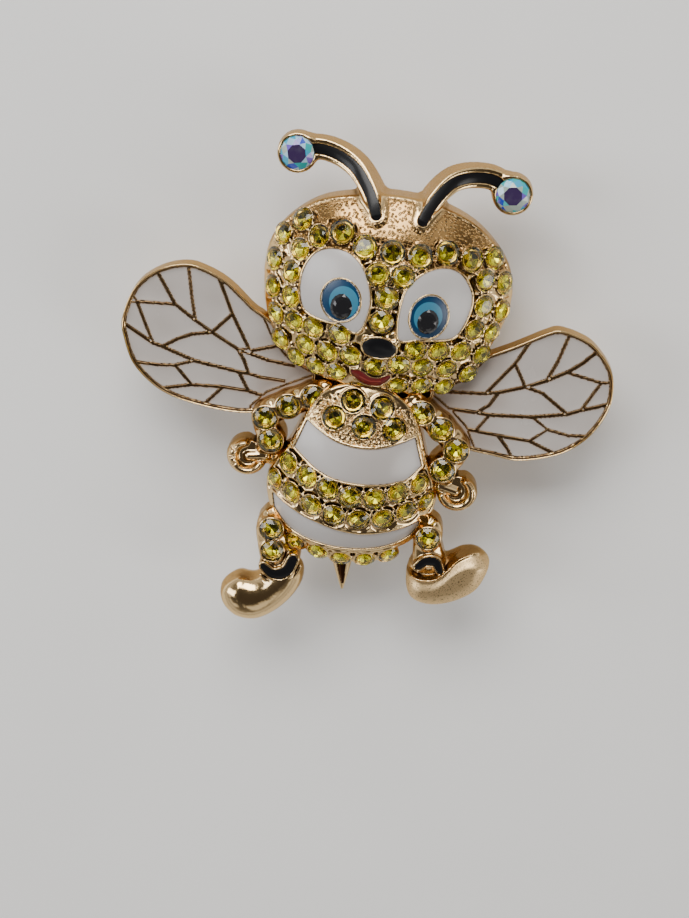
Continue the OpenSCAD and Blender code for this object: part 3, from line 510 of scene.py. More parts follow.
class Turned(Solid):
    """A body of revolution round a seat's axis: a cylinder between two heights, or a ring."""

    def __init__(self, seat: Seat, radius: float, low: float, high: float, edge: float = 0.1,
                 ring: bool = False, draft: float = 0.0) -> None:
        """Keeps its sizes.

        Args:
            seat: The seat whose axis it is turned round.
            radius: Its radius at the top, or the ring's middle radius.
            low: Its lowest height over the girdle.
            high: Its highest height, or the height of the ring's middle.
            edge: Rounding of its edge, or the radius of the ring's wire.
            ring: True for a ring.
            draft: How much it widens for each millimetre down.
        """
        self.seat, self.radius, self.bottom, self.top = seat, radius, low, high
        self.edge, self.ring, self.draft = edge, ring, draft
        reach = radius + abs(draft) * (high - low) + edge + max(abs(low), abs(high)) * 0.3
        self.low = seat.at - reach - abs(seat.axis) * max(-low, 0)
        self.high = seat.at + reach + abs(seat.axis) * max(high, 0)

    def distance(self, x: Array, y: Array, z: Array) -> Array:
        """Signed distance at each place."""
        r, h = self.seat.local(x, y, z)
        if self.ring:
            return np.hypot(r - self.radius, h - self.top) - self.edge
        side = r - self.radius - self.draft * (self.top - h)
        return np.maximum(soft_max(side, h - self.top, self.edge), self.bottom - h)


class Field:
    """Signed distances on an even grid, from which a skin is taken."""

    def __init__(self, low: Sequence[float], high: Sequence[float], step: float) -> None:
        """Sets up an empty grid.

        Args:
            low: Lowest corner in millimetres.
            high: Highest corner.
            step: Distance between grid points.
        """
        self.step = step
        self.low = np.floor(np.array(low) / step) * step - 2.37 * step
        count = np.ceil((np.array(high) - self.low) / step).astype(int) + 3
        self.axes = [self.low[i] + step * np.arange(count[i]) for i in range(3)]
        self.value = np.full(count, FAR, np.float32)

    def _part(self, solid: Solid, margin: float) -> tuple[tuple[slice, ...], list[Array]]:
        """The part of the grid round a solid, and its places."""
        cut, places = [], []
        for i, axis in enumerate(self.axes):
            a = int(np.clip((solid.low[i] - margin - axis[0]) / self.step, 0, len(axis)))
            b = int(np.clip((solid.high[i] + margin - axis[0]) / self.step + 2, 0, len(axis)))
            cut.append(slice(a, b))
            places.append(axis[a:b].reshape([-1 if k == i else 1 for k in range(3)]))
        return tuple(cut), places

    def add(self, solid: Solid, blend: float = 0.0) -> None:
        """Adds a solid, with a fillet of the size of blend."""
        cut, places = self._part(solid, blend + 3 * self.step)
        self.value[cut] = soft_min(self.value[cut], solid.distance(*places), blend)

    def cut(self, solid: Solid, blend: float = 0.0) -> None:
        """Cuts a solid away, with a round of the size of blend."""
        cut, places = self._part(solid, blend + 3 * self.step)
        self.value[cut] = soft_max(self.value[cut], -solid.distance(*places), blend)

    def read(self, p: Array) -> tuple[Array, Array]:
        """Value and slope at points between the grid's own.

        Args:
            p: Points in millimetres.

        Returns:
            The values and the slopes.
        """
        g = (p - self.low) / self.step
        i = np.clip(np.floor(g).astype(int), 0, np.array(self.value.shape) - 2)
        f = np.clip(g - i, 0, 1)
        c = [[[self.value[i[:, 0] + a, i[:, 1] + b, i[:, 2] + k] for k in (0, 1)] for b in (0, 1)] for a in (0, 1)]
        fx, fy, fz = f.T
        z = [[c[a][b][0] * (1 - fz) + c[a][b][1] * fz for b in (0, 1)] for a in (0, 1)]
        y = [z[a][0] * (1 - fy) + z[a][1] * fy for a in (0, 1)]
        value = y[0] * (1 - fx) + y[1] * fx
        gx = y[1] - y[0]
        gy = (z[0][1] - z[0][0]) * (1 - fx) + (z[1][1] - z[1][0]) * fx
        gz = sum((c[a][b][1] - c[a][b][0]) * (fx if a else 1 - fx) * (fy if b else 1 - fy)
                 for a in (0, 1) for b in (0, 1))
        return value, np.stack([gx, gy, gz], 1) / self.step

    def skin(self) -> "Skin":
        """The surface where the value is zero, one vertex in each crossed cell."""
        v, inside = self.value, self.value < 0
        total = sum(inside[a:a + v.shape[0] - 1, b:b + v.shape[1] - 1, c:c + v.shape[2] - 1].astype(np.int8)
                    for a in (0, 1) for b in (0, 1) for c in (0, 1))
        cells = np.argwhere((total > 0) & (total < 8))
        number = np.full(total.shape, -1, np.int32)
        number[tuple(cells.T)] = np.arange(len(cells))
        points, hits = np.zeros((len(cells), 3)), np.zeros((len(cells), 1))
        for axis in range(3):
            unit = np.eye(3, dtype=int)[axis]
            others = [np.eye(3, dtype=int)[k] for k in range(3) if k != axis]
            for b in (0, 1):
                for c in (0, 1):
                    at = cells + b * others[0] + c * others[1]
                    p, q = v[tuple(at.T)], v[tuple((at + unit).T)]
                    crossed = (p < 0) != (q < 0)
                    t = (p[crossed] / (p[crossed] - q[crossed]))[:, None]
                    points[crossed] += at[crossed] + t * unit
                    hits[crossed] += 1
        points = self.low + self.step * points / hits
        quads = []
        for axis in range(3):
            b, c = np.eye(3, dtype=int)[(axis + 1) % 3], np.eye(3, dtype=int)[(axis + 2) % 3]
            n = v.shape[axis]
            near, far = (np.take(inside, range(s, n - 1 + s), axis) for s in (0, 1))
            e = np.argwhere(near != far)
            e = e[(e @ b > 0) & (e @ c > 0) & (e @ b < v.shape[(axis + 1) % 3] - 1)
                  & (e @ c < v.shape[(axis + 2) % 3] - 1)]
            ring = np.stack([number[tuple((e - s).T)] for s in (0 * b, b, b + c, c)], 1)
            quads.append(np.where(near[tuple(e.T)][:, None], ring, ring[:, ::-1]))
        for _ in range(2):
            value, slope = self.read(points)
            push = (value / np.maximum((slope ** 2).sum(1), 0.05))[:, None] * slope
            points -= np.clip(push, -0.4 * self.step, 0.4 * self.step)
        h = 0.7 * self.step
        normal = np.stack([self.read(points + h * u)[0] - self.read(points - h * u)[0] for u in np.eye(3)], 1)
        normal /= np.maximum(np.linalg.norm(normal, axis=1), 1e-9)[:, None]
        # A mask of painted shade: how enclosed each vertex is, which the finishes paint dark
        shade = np.zeros(len(points))
        for h in (0.25, 0.6, 1.1):
            shade += np.clip(1 - self.read(points + h * normal)[0] / h, 0, 1) / 3
        return Skin(points, np.vstack(quads), normal, {"cavity": shade})


@dataclass
class Skin:
    """A mesh in millimetres with its normals and its values at each vertex."""
    points: Array
    faces: Array
    normals: Array
    values: dict[str, Array] = field(default_factory=dict)

    def part(self, keep: Array) -> "Skin":
        """The faces whose first corner is kept, with the vertices that they use."""
        faces = self.faces[keep[self.faces[:, 0]]]
        used = np.unique(faces)
        where = np.full(len(self.points), -1)
        where[used] = np.arange(len(used))
        return Skin(self.points[used], where[faces], self.normals[used],
                    {k: v[used] for k, v in self.values.items()})


def merge_level(mesh: bpy.types.Mesh, skin: Skin) -> None:
    """Joins the small faces of a skin's level areas into large ones, which look the same.

    Args:
        mesh: The skin's mesh, whose normals are kept as the attribute "way".
        skin: The skin.
    """
    height = skin.points[:, 2][skin.faces]
    level_face = (np.abs(skin.normals[:, 2]) > 0.99999)[skin.faces].all(1) & (np.ptp(height, axis=1) < 1e-3)
    work = bmesh.new()
    work.from_mesh(mesh)
    for face, is_level in zip(work.faces, level_face):
        face.tag = bool(is_level)
    edges, corners = ([part for part in parts if part.link_faces and all(f.tag for f in part.link_faces)]
                      for parts in (work.edges, work.verts))
    bmesh.ops.dissolve_limit(work, angle_limit=0.01, verts=corners, edges=edges)
    work.to_mesh(mesh)
    work.free()


def make_piece(name: str, skin: Skin, material: bpy.types.Material, node: str) -> None:
    """Makes an object of a skin and hides the CAD node that it stands for.

    Args:
        name: Name of the piece.
        skin: Its mesh.
        material: Its finish.
        node: CAD node that it stands for.
    """
    mesh = bpy.data.meshes.new(name)
    mesh.from_pydata((skin.points * MM).tolist(), [], skin.faces.tolist())
    mesh.shade_smooth()
    for key, values in skin.values.items():
        mesh.attributes.new(key, "FLOAT", "POINT").data.foreach_set("value", values.astype(np.float32))
    ways = skin.normals.astype(np.float32).ravel()
    mesh.attributes.new("way", "FLOAT_VECTOR", "POINT").data.foreach_set("vector", ways)
    merge_level(mesh, skin)
    ways = np.zeros(len(mesh.vertices) * 3, np.float32)
    mesh.attributes["way"].data.foreach_get("vector", ways)
    mesh.attributes.remove(mesh.attributes["way"])
    mesh.normals_split_custom_set_from_vertices(ways.reshape(-1, 3).tolist())
    place(mesh, [material], node)


def place(mesh: bpy.types.Mesh, materials: Sequence[bpy.types.Material], node: str) -> None:
    """Makes an object of a mesh, gives it its materials and lets it ride on the brooch."""
    piece = bpy.data.objects.new(mesh.name, mesh)
    bpy.context.scene.collection.objects.link(piece)
    for material in materials:
        piece.data.materials.append(material)
    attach(piece, "root")
    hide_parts(node)
    log.info("%s: %d triangles", piece.name, sum(len(f.vertices) - 2 for f in piece.data.polygons))


def corners_of(mesh: bpy.types.Mesh) -> Array:
    """Corners of a mesh in millimetres."""
    points = np.zeros(len(mesh.vertices) * 3)
    mesh.vertices.foreach_get("co", points)
    return points.reshape(-1, 3) / MM


class Value:
    """A socket of a shader tree with arithmetic."""

    def __init__(self, tree: "Graph", socket: bpy.types.NodeSocket) -> None:
        """Keeps the tree and the socket."""
        self.tree, self.socket = tree, socket

    def _math(self, kind: str, *values: Any) -> "Value":
        """Adds a Math node."""
        return self.tree.node("ShaderNodeMath", {"operation": kind}, dict(enumerate(values)))

    def __add__(self, other: Any) -> "Value":
        """The sum."""
        return self._math("ADD", self, other)

    def __sub__(self, other: Any) -> "Value":
        """The difference."""
        return self._math("SUBTRACT", self, other)

    def __rsub__(self, other: Any) -> "Value":
        """The difference the other way round."""
        return self._math("SUBTRACT", other, self)

    def __mul__(self, other: Any) -> "Value":
        """The product."""
        return self._math("MULTIPLY", self, other)

    __radd__ = __add__
    __rmul__ = __mul__

    def ramp(self, low: float, high: float) -> "Value":
        """A smooth step from 0 at low to 1 at high."""
        return self.tree.node("ShaderNodeMapRange", {"interpolation_type": "SMOOTHSTEP"},
                              {"Value": self, "From Min": low, "From Max": high})


class Graph:
    """A node tree of a material or of the world."""

    def __init__(self, tree: bpy.types.NodeTree) -> None:
        """Keeps the tree's nodes and links."""
        self.nodes, self.links = tree.nodes, tree.links

    def node(self, kind: str, settings: dict[str, Any] | None = None, inputs: dict[Any, Any] | None = None,
             out: Any = 0) -> Value:
        """Adds any node.

        Args:
            kind: The node's type.
            settings: Its own settings, set first; stops is a ramp's list of (place, colour).
            inputs: Numbers, colours or values for its sockets, by name or number.
            out: Name or number of the output that is handed back.

        Returns:
            That output.
        """
        made = self.nodes.new(kind)
        for key, setting in (settings or {}).items():
            if key == "stops":
                while len(made.color_ramp.elements) < len(setting):
                    made.color_ramp.elements.new(0.5)
                for element, (at, colour) in zip(made.color_ramp.elements, setting):
                    element.position, element.color = at, (*colour, 1)
            else:
                setattr(made, key, setting)
        for key, value in (inputs or {}).items():
            self.put(made.inputs[key], value)
        return Value(self, made.outputs[out])

    def put(self, socket: bpy.types.NodeSocket, value: Any) -> None:
        """Links a value to a socket, or sets a number or a colour on it."""
        if isinstance(value, Value):
            self.links.new(value.socket, socket)
        elif isinstance(value, tuple) and len(socket.default_value) == 4:
            socket.default_value = (*value, 1.0)
        else:
            socket.default_value = value

    def mix(self, factor: Any, a: Any, b: Any) -> Value:
        """Mixes two colours."""
        return self.node("ShaderNodeMix", {"data_type": "RGBA"}, {0: factor, 6: a, 7: b}, 2)


class Tree(Graph):
    """A material's node tree and its Principled shader."""

    def __init__(self, name: str, **fixed: Any) -> None:
        """Makes the material.

        Args:
            name: Name of the material.
            fixed: Numbers and colours of the shader's own sockets, with _ for a space.
        """
        self.material = bpy.data.materials.new(name)
        self.material.use_nodes = True
        super().__init__(self.material.node_tree)
        self.shader = self.nodes["Principled BSDF"]
        for key, value in fixed.items():
            self.put(self.shader.inputs[key.replace("_", " ")], value)

    def place(self) -> Value:
        """Places on the object in millimetres."""
        at = self.node("ShaderNodeTexCoord", None, None, "Object")
        return self.node("ShaderNodeVectorMath", {"operation": "SCALE"}, {0: at, "Scale": 1000.0})

    def noise(self, scale: float, detail: float) -> Value:
        """Cloudy noise, with scale in ripples a millimetre."""
        return self.node("ShaderNodeTexNoise", None, {"Vector": self.place(), "Scale": scale, "Detail": detail})

    def grains(self, scale: float) -> Value:
        """Distance to the middle of the nearest grain."""
        return self.node("ShaderNodeTexVoronoi", None, {"Vector": self.place(), "Scale": scale})

    def attribute(self, name: str) -> Value:
        """A number that the mesh holds at each vertex."""
        return self.node("ShaderNodeAttribute", {"attribute_name": name}, None, "Fac")

    def bump(self, height: Any, distance: float) -> None:
        """Lets a height in millimetres shape the normal."""
        self.set("Normal", self.node("ShaderNodeBump", None, {"Strength": 1.0, "Distance": distance * MM,
                                                              "Height": height}))

    def mottled(self, mask: Value, colour: Colour, share: float) -> None:
        """Colours the shader, darkened to a share of the colour where the mask is 1."""
        self.set("Base Color", self.mix(mask, colour, tuple(c * share for c in colour)))

    def set(self, key: str, value: Any) -> None:
        """Feeds a socket of the shader."""
        self.put(self.shader.inputs[key], value)


@dataclass(frozen=True)
class Plating:
    """Gold plate over a casting, painted dark in its crevices as painted shade and dirt."""
    bright: Colour = (0.80, 0.57, 0.285)
    dull: Colour = (0.46, 0.27, 0.10)
    dark: Colour = (0.05, 0.020, 0.009)
    satin: Colour = (0.78, 0.56, 0.29)
    edge: Colour = (0.90, 0.79, 0.60)
    roughness: float = 0.12
    grain: float = 3.0

    def build(self) -> bpy.types.Material:
        """Makes the material."""
        t = Tree("gold_plate", Metallic=1.0, Specular_Tint=self.edge)
        cavity, stipple, dullness, satin = (t.attribute(k) for k in ("cavity", "stipple", "dull", "satin"))
        cloud = t.noise(0.35, 4.0)
        fine = t.noise(2.6, 3.0)
        # Painted shade and dirt: the gold is painted dark where the mesh's shade mask is high, in crevices, on the
        # wings' veins and in the sting's groove
        dirt_and_shade = (cavity + (fine - 0.5) * 0.22).ramp(0.30, 0.78)
        tone = t.mix((cloud * 0.5 + dullness * (0.6 + fine * 0.8)).ramp(0.15, 0.95), self.bright, self.dull)
        # Painted shade: stippled areas are painted towards the dull colour, and more so between the raised grains
        hollow = t.grains(self.grain).ramp(0.12, 0.5)
        tone = t.mix(stipple * (0.48 + hollow * 0.52), tone, self.dull)
        tone = t.mix(satin * (0.6 + cloud * 0.4), tone, self.satin)
        t.set("Base Color", t.mix(dirt_and_shade + t.noise(6.0, 2.0).ramp(0.56, 0.66) * satin * 0.7, tone, self.dark))
        t.set("Roughness", self.roughness + dirt_and_shade * 0.25 + dullness * 0.16 + (fine - 0.5) * 0.12 + stipple * 0.08
              + satin * 0.34)
        ripple = t.noise(0.8, 2.0) * 0.5 + fine * 0.12 + t.noise(7.0, 2.0) * (dullness + satin) * 0.25
        t.bump(ripple - hollow * stipple * 3.6, 0.06)
        return t.material


@dataclass(frozen=True)
class Enamel:
    """Poured enamel of one colour, with a second where the mesh's tone is 1 and another along its edge, painted
    there as shade and as reflection of the metal wall.
    """
    name: str
    colour: Colour
    second: Colour
    edge: Colour
    roughness: float = 0.3
    coat: float = 0.3
    coat_roughness: float = 0.22
    ripple: float = 0.015
    gloss: float = 0.4

    def build(self) -> bpy.types.Material:
        """Makes the material."""
        t = Tree(self.name, Coat_Weight=self.coat, Coat_Roughness=self.coat_roughness,
                 Specular_IOR_Level=self.gloss)
        tone = t.attribute("tone").ramp(0.35, 0.65)
        cloud = t.noise(0.5, 3.0)
        # The edge colour along the walls is painted shade and reflection of the metal
        shaded = t.mix(t.attribute("cavity").ramp(0.2, 1.0) * 0.6,
                       t.mix(tone, self.colour, self.second), self.edge)
        t.set("Base Color", t.mix((cloud - 0.5) * 0.25 + 0.06, shaded, tuple(c * 0.7 for c in self.colour)))
        t.set("Roughness", self.roughness + (cloud - 0.5) * 0.08)
        t.bump(t.noise(0.7, 2.0), self.ripple)
        return t.material


@dataclass(frozen=True)
class Glass:
    """Clear or tinted cut glass."""
    name: str
    colour: Colour
    roughness: float = 0.01

    def build(self) -> bpy.types.Material:
        """Makes the material."""
        t = Tree(self.name, Transmission_Weight=1.0, IOR=1.58)
        worn = t.noise(1.4, 2.0)
        t.mottled(worn.ramp(0.45, 0.9) * 0.25, self.colour, 0.8)
        t.set("Roughness", self.roughness + worn * 0.02)
        return t.material


@dataclass(frozen=True)
class Foil:
    """Bright foil behind a stone, painted lighter and darker from facet to facet as painted light, shade and
    reflection.
    """
    name: str
    light: Colour
    deep: Colour
    third: Colour

    def build(self) -> bpy.types.Material:
        """Makes the material."""
        t = Tree(self.name, Metallic=1.0)
        tone = t.attribute("tone")
        first = t.mix(tone.ramp(0.1, 0.55), self.light, self.deep)
        t.set("Base Color", t.mix(tone.ramp(0.5, 0.9), first, self.third))
        t.set("Roughness", 0.16 + t.noise(1.2, 2.0) * 0.1)
        return t.material


@dataclass(frozen=True)
class Aurora:
    """A crystal with an iridescent coat, whose facets are painted a colour each as painted reflections of the coat;
    the table is tone 1.
    """
    name: str = "aurora_crystal"
    stops: tuple[tuple[float, Colour], ...] = (
        (0.0, (0.03, 0.38, 0.60)), (0.16, (0.01, 0.05, 0.50)), (0.32, (0.38, 0.62, 0.80)),
        (0.48, (0.16, 0.09, 0.52)), (0.64, (0.02, 0.42, 0.44)), (0.8, (0.36, 0.44, 0.38)),
        (1.0, (0.04, 0.022, 0.075)))

    def build(self) -> bpy.types.Material:
        """Makes the material."""
        t = Tree(self.name, Coat_Weight=0.7, Coat_Roughness=0.02, Specular_IOR_Level=0.5)
        cloud = t.noise(0.9, 2.0)
        t.set("Base Color", t.node("ShaderNodeValToRGB", {"stops": self.stops},
                                   {"Fac": t.attribute("tone") + (cloud - 0.5) * 0.05}))
        t.set("Roughness", 0.08 + cloud * 0.06)
        return t.material


@dataclass(frozen=True)
class Steel:
    """Nickel-plated steel of the pin, brushed lightly."""
    colour: Colour = (0.62, 0.60, 0.57)

    def build(self) -> bpy.types.Material:
        """Makes the material."""
        t = Tree("pin_steel", Metallic=1.0)
        cloud = t.noise(0.6, 4.0)
        t.mottled(cloud.ramp(0.35, 0.75), self.colour, 0.72)
        t.set("Roughness", 0.24 + cloud * 0.14)
        t.bump(t.noise(5.0, 2.0), 0.012)
        return t.material


@dataclass(frozen=True)
class Paper:
    """The pale floor."""
    colour: Colour = (0.92, 0.915, 0.90)

    def build(self) -> bpy.types.Material:
        """Makes the material."""
        t = Tree("pale_floor", Specular_IOR_Level=0.3)
        cloud = t.noise(0.02, 3.0)
        t.mottled(cloud.ramp(0.3, 0.8), self.colour, 0.95)
        t.set("Roughness", 0.55 + cloud * 0.1)
        return t.material


def seats_of(node: str) -> list[Seat]:
    """Finds the stones of a CAD node.

    Args:
        node: Name of the node.

    Returns:
        A seat for each loose stone in it.
    """
    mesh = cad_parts[node].data
    points = corners_of(mesh)
    _, first, same = np.unique(np.round(points, 3), axis=0, return_index=True, return_inverse=True)
    same, owner = same.ravel(), np.arange(len(first))
    for polygon in mesh.polygons:
        mine = owner[same[list(polygon.vertices)]]
        owner[np.isin(owner, mine)] = mine.min()
    seats = []
    for group in np.unique(owner):
        q = points[first[owner == group]]
        centre = q.mean(0)
        _, axes = np.linalg.eigh(np.cov((q - centre).T))
        axis = axes[:, 0] * np.sign(axes[2, 0])
        order = np.argsort((q - centre) @ axis)
        girdle = q[order[8:16]]
        at = girdle.mean(0)
        spoke = girdle[0] - at
        radius = float(np.linalg.norm(girdle - at, axis=1).mean())
        seats.append(Seat(at, axis, spoke / np.linalg.norm(spoke), 2 * radius))
    return seats


STONE_NODES = ["head_stones", "chest_stones", "belly_stones", "tail_stones", "left_arm_stones", "right_arm_stones",
               "left_leg_stones", "right_leg_stone", "left_antenna_stone", "right_antenna_stone"]
SEATS = {name: seats_of(name) for name in STONE_NODES}
# How much the stones are swollen, and how much darker their foil is painted
STONE_LOOKS = {"head_stones": (1.08, 0.0), "belly_stones": (1.09, 0.0), "tail_stones": (1.11, 0.0),
               "chest_stones": (1.17, 0.2)}


def set_stones(metal: Field, seats: Sequence[Seat], wire: float = 0.1, wall: float = 0.0,
               out: float = 0.08) -> None:
    """Cuts the seats of stones into the metal and lays a thin rim round each.

    Args:
        metal: The metal's field.
        seats: Where the stones sit.
        wire: Radius of the rim's wire.
        wall: How far a cup's wall reaches down below the girdle, or 0 for no cup.
        out: How far the rim's wire lies outside the seat.
    """
    for seat in seats:
        r = seat.diameter / 2
        if wall:
            metal.add(Turned(seat, r + 0.24, -wall, -0.02, 0.2, draft=0.10), 0.35)
        metal.add(Turned(seat, r + out, 0, -0.04, wire, ring=True), 0.16)
    for seat in seats:
        r = seat.diameter / 2
        metal.cut(Turned(seat, r + out - 0.07, -0.32, 3.0, 0.02), 0.03)
        metal.cut(Turned(seat, r * 0.55, -0.7, 0.0, 0.02), 0.05)


def cup_stones(metal: Field, seats: Sequence[Seat], wall: float, depth: float, blend: float) -> None:
    """Stands each stone in a cup that widens downwards, and sets it.

    Args:
        metal: The metal's field.
        seats: Where the stones sit.
        wall: How far the cup is wider than the stone.
        depth: How far it reaches down below the girdle.
        blend: Fillet at its foot.
    """
    for seat in seats:
        metal.add(Turned(seat, seat.diameter / 2 + wall, -depth, -0.02, 0.3, draft=0.03), blend)
    set_stones(metal, seats, 0.13, 0.0, 0.15)


def add_beads(metal: Field, seats: Sequence[Seat]) -> None:
    """Adds small beads of metal where three or more stones leave a gap."""
    at = np.array([s.at for s in seats])
    size = np.array([s.diameter / 2 for s in seats])
    found: list[Array] = []
    for i, a in enumerate(seats):
        for j in np.argsort(np.linalg.norm(at - a.at, axis=1))[1:7]:
            gap = at[j] - a.at
            span = np.linalg.norm(gap)
            if j <= i or span > 3.3:
                continue
            reach = (size[i] + size[j]) / 2 + 0.34
            side = np.cross(a.axis, gap / span)
            rise = np.sqrt(max(reach ** 2 - span ** 2 / 4, 0.01))
            for turn in (-1, 1):
                spot = a.at + gap / 2 + turn * rise * side
                clear = np.linalg.norm(at - spot, axis=1) - size
                if clear.min() > 0.24 and all(np.linalg.norm(spot - f) > 0.5 for f in found):
                    found.append(spot - 0.12 * a.axis)
    for spot in found:
        metal.add(Ball(spot, 0.2), 0.15)


def sunk_dome(back: RoundBack, near: Array, x: Array, y: Array, keep: Array | float = 0.0) -> tuple[Array, Array]:
    """A dome's height and lean, sunk between its stones but where keep is 1."""
    z, lean = back.height(x, y)
    return z - SINK * (1 - step_up(near, *RING)) * (1 - keep), lean


def cut_hollow(metal: Field, back: RoundBack, shares: Sequence[tuple[float, float]], share: float) -> None:
    """Cuts the hollow behind a dome, whose outline is a share of the dome's own."""
    loop = spline(back.placed(shares), 3, True)
    loop = loop.mean(0) + share * (loop - loop.mean(0))
    metal.cut(Slab(Loops.of(loop), 5, level(BACK + HOLLOW), 0.5), 0.4)


def cast(name: str, skin: Skin, gold: bpy.types.Material) -> None:
    """Makes a piece of the casting."""
    make_piece(name, skin, gold, "casting")


def dressed(skin: Skin, stipple: Array | None = None, dull: Array | None = None,
            satin: Array | None = None) -> Skin:
    """Gives a metal skin the values that its finish reads."""
    for key, values in (("stipple", stipple), ("dull", dull), ("satin", satin)):
        skin.values[key] = np.zeros(len(skin.points)) if values is None else values
    return skin


@dataclass(frozen=True)
class Antenna:
    """An antenna of the head, with its channel and the cup at its tip."""
    side: Side
    width: float = 2.4
    foot_width: float = 1.44
    tip_height: float = 9.0
    rise: float = 4.03
    channel_width: float = 1.06
    channel_start: int = 7

    def line(self) -> tuple[Stroke, Array]:
        """Its line and its heights."""
        rows = spline(ANTENNA[self.side.value], 8, False)[:-3]
        last = len(rows) - 1
        half = np.interp(np.arange(len(rows)), [0, last - 8, last], [self.width / 2] * 2 + [self.foot_width / 2])
        return Stroke(rows[:, :2] + CROWN, half), self.tip_height + rows[:, 2] * self.rise

    def channel(self) -> Stroke:
        """The channel for its enamel."""
        points = self.line()[0].points[self.channel_start:]
        return Stroke(points, np.full(len(points), self.channel_width / 2))

    def add(self, metal: Field) -> None:
        """Adds it to the metal of the head."""
        line, heights = self.line()

        def top(x: Array, y: Array, sink: float = 0.0) -> tuple[Array, Array]:
            """Height of the antenna over a place."""
            return line.read(x, y, heights - sink)[1], np.array(0.93)

        metal.add(Slab(line, BACK, top, 0.25, 0.14, 0.10), 0.7)
        tip = SEATS[f"{self.side.value}_antenna_stone"][0]
        metal.add(Turned(tip, tip.diameter / 2 + 0.34, -2.0, 0.08, 0.22, draft=0.05), 0.5)
        metal.cut(Pit(self.channel(), 0, lambda x, y: top(x, y, POOL), 0.1), 0.12)
        metal.cut(Turned(tip, tip.diameter / 2 - 0.02, -0.5, 3.0, 0.02), 0.1)


def eye_loops(side: Side) -> tuple[Loops, Loops]:
    """Outlines of an eye's white and of its iris."""
    return outline_of(HEAD, EYE[side.value]), Loops.of(HEAD.oval(IRIS[side.value]))


@dataclass
class HeadCasting:
    """The head with its forehead, eye rims and antennae."""
    gold: bpy.types.Material
    step: float = 0.143
    split: float = 22.3
    forehead: float = 13.5
    nostril: float = 0.34

    def build(self) -> None:
        """Builds the metal of the head and of the antennae."""
        metal = Field((-15, -1, FIELD_LOW), (15, 27, 15.5), self.step)
        outline = outline_of(HEAD, HEAD_LOOP)
        seats = SEATS["head_stones"]
        at = np.array([s.at for s in seats])

        def ground(x: Array, y: Array) -> tuple[Array, Array]:
            """The dome, sunk between the stones but not where the forehead begins."""
            near, up = beside(at, x, y)
            return sunk_dome(HEAD, near, x, y, step_up(up, 0.7, 1.2) * (y > self.forehead))

        metal.add(Slab(outline, BACK, ground, 0.5))
        for side in Side:
            eye, iris = eye_loops(side)
            metal.add(Ridge(eye, BACK, HEAD.over(0.26), 0.13, 0.13), 0.25)
            metal.cut(Pit(eye, BACK, HEAD.over(-0.2), 0.02))
            metal.add(Ridge(iris, BACK, HEAD.over(0.36), 0.11, 0.10))
        nose = Loops.of(HEAD.oval(NOSE))
        metal.add(Ridge(nose, BACK, HEAD.over(0.28), 0.12, 0.11), 0.2)
        for share in ((-0.115, -0.40), (0.115, -0.40)):
            spot = HEAD.placed([share])[0]
            metal.add(Ball(np.array([*spot, float(HEAD.surface(*spot)) + 0.12]), self.nostril), 0.2)
        metal.cut(Pit(nose, BACK, HEAD.over(-0.2), 0.02))
        mouth = between(HEAD, *MOUTH, 5)
        metal.add(Ridge(mouth, BACK, HEAD.over(0.02), 0.1, 0.08), 0.1)
        metal.cut(Pit(mouth, BACK, HEAD.over(-0.5), 0.02))
        antennae = [Antenna(side) for side in Side]
        for antenna in antennae:
            antenna.add(metal)
        set_stones(metal, seats)
        add_beads(metal, seats)
        cut_hollow(metal, HEAD, HEAD_LOOP, 0.7)
        skin = metal.skin()
        x, y, z = skin.points.T
        rim = -outline.distance(x, y)
        near, _ = beside(at, x, y)
        line = np.minimum(*(antenna.line()[0].distance(x, y) for antenna in antennae))
        # The stippled forehead, which the finish paints darker as painted shade
        forehead = step_up(y, 14.2, 15.6) * step_up(rim, 0.1, 0.4) * step_up(near, 1.2, 1.35)
        forehead *= step_up(line, 0.15, 0.7) * (np.abs(z - HEAD.surface(x, y)) < 0.5)
        wall = (skin.normals[:, 2] < STEEP) * step_up(y, 12, 16) * 0.9
        dressed(skin, forehead, wall + 0.35 * step_up(line, 1.4, 0.2) * (y < 23) * (line > 0.1))
        high = y > self.split
        cast("head_casting", skin.part(~high), self.gold)
        cast("antennae_casting", skin.part(high), self.gold)


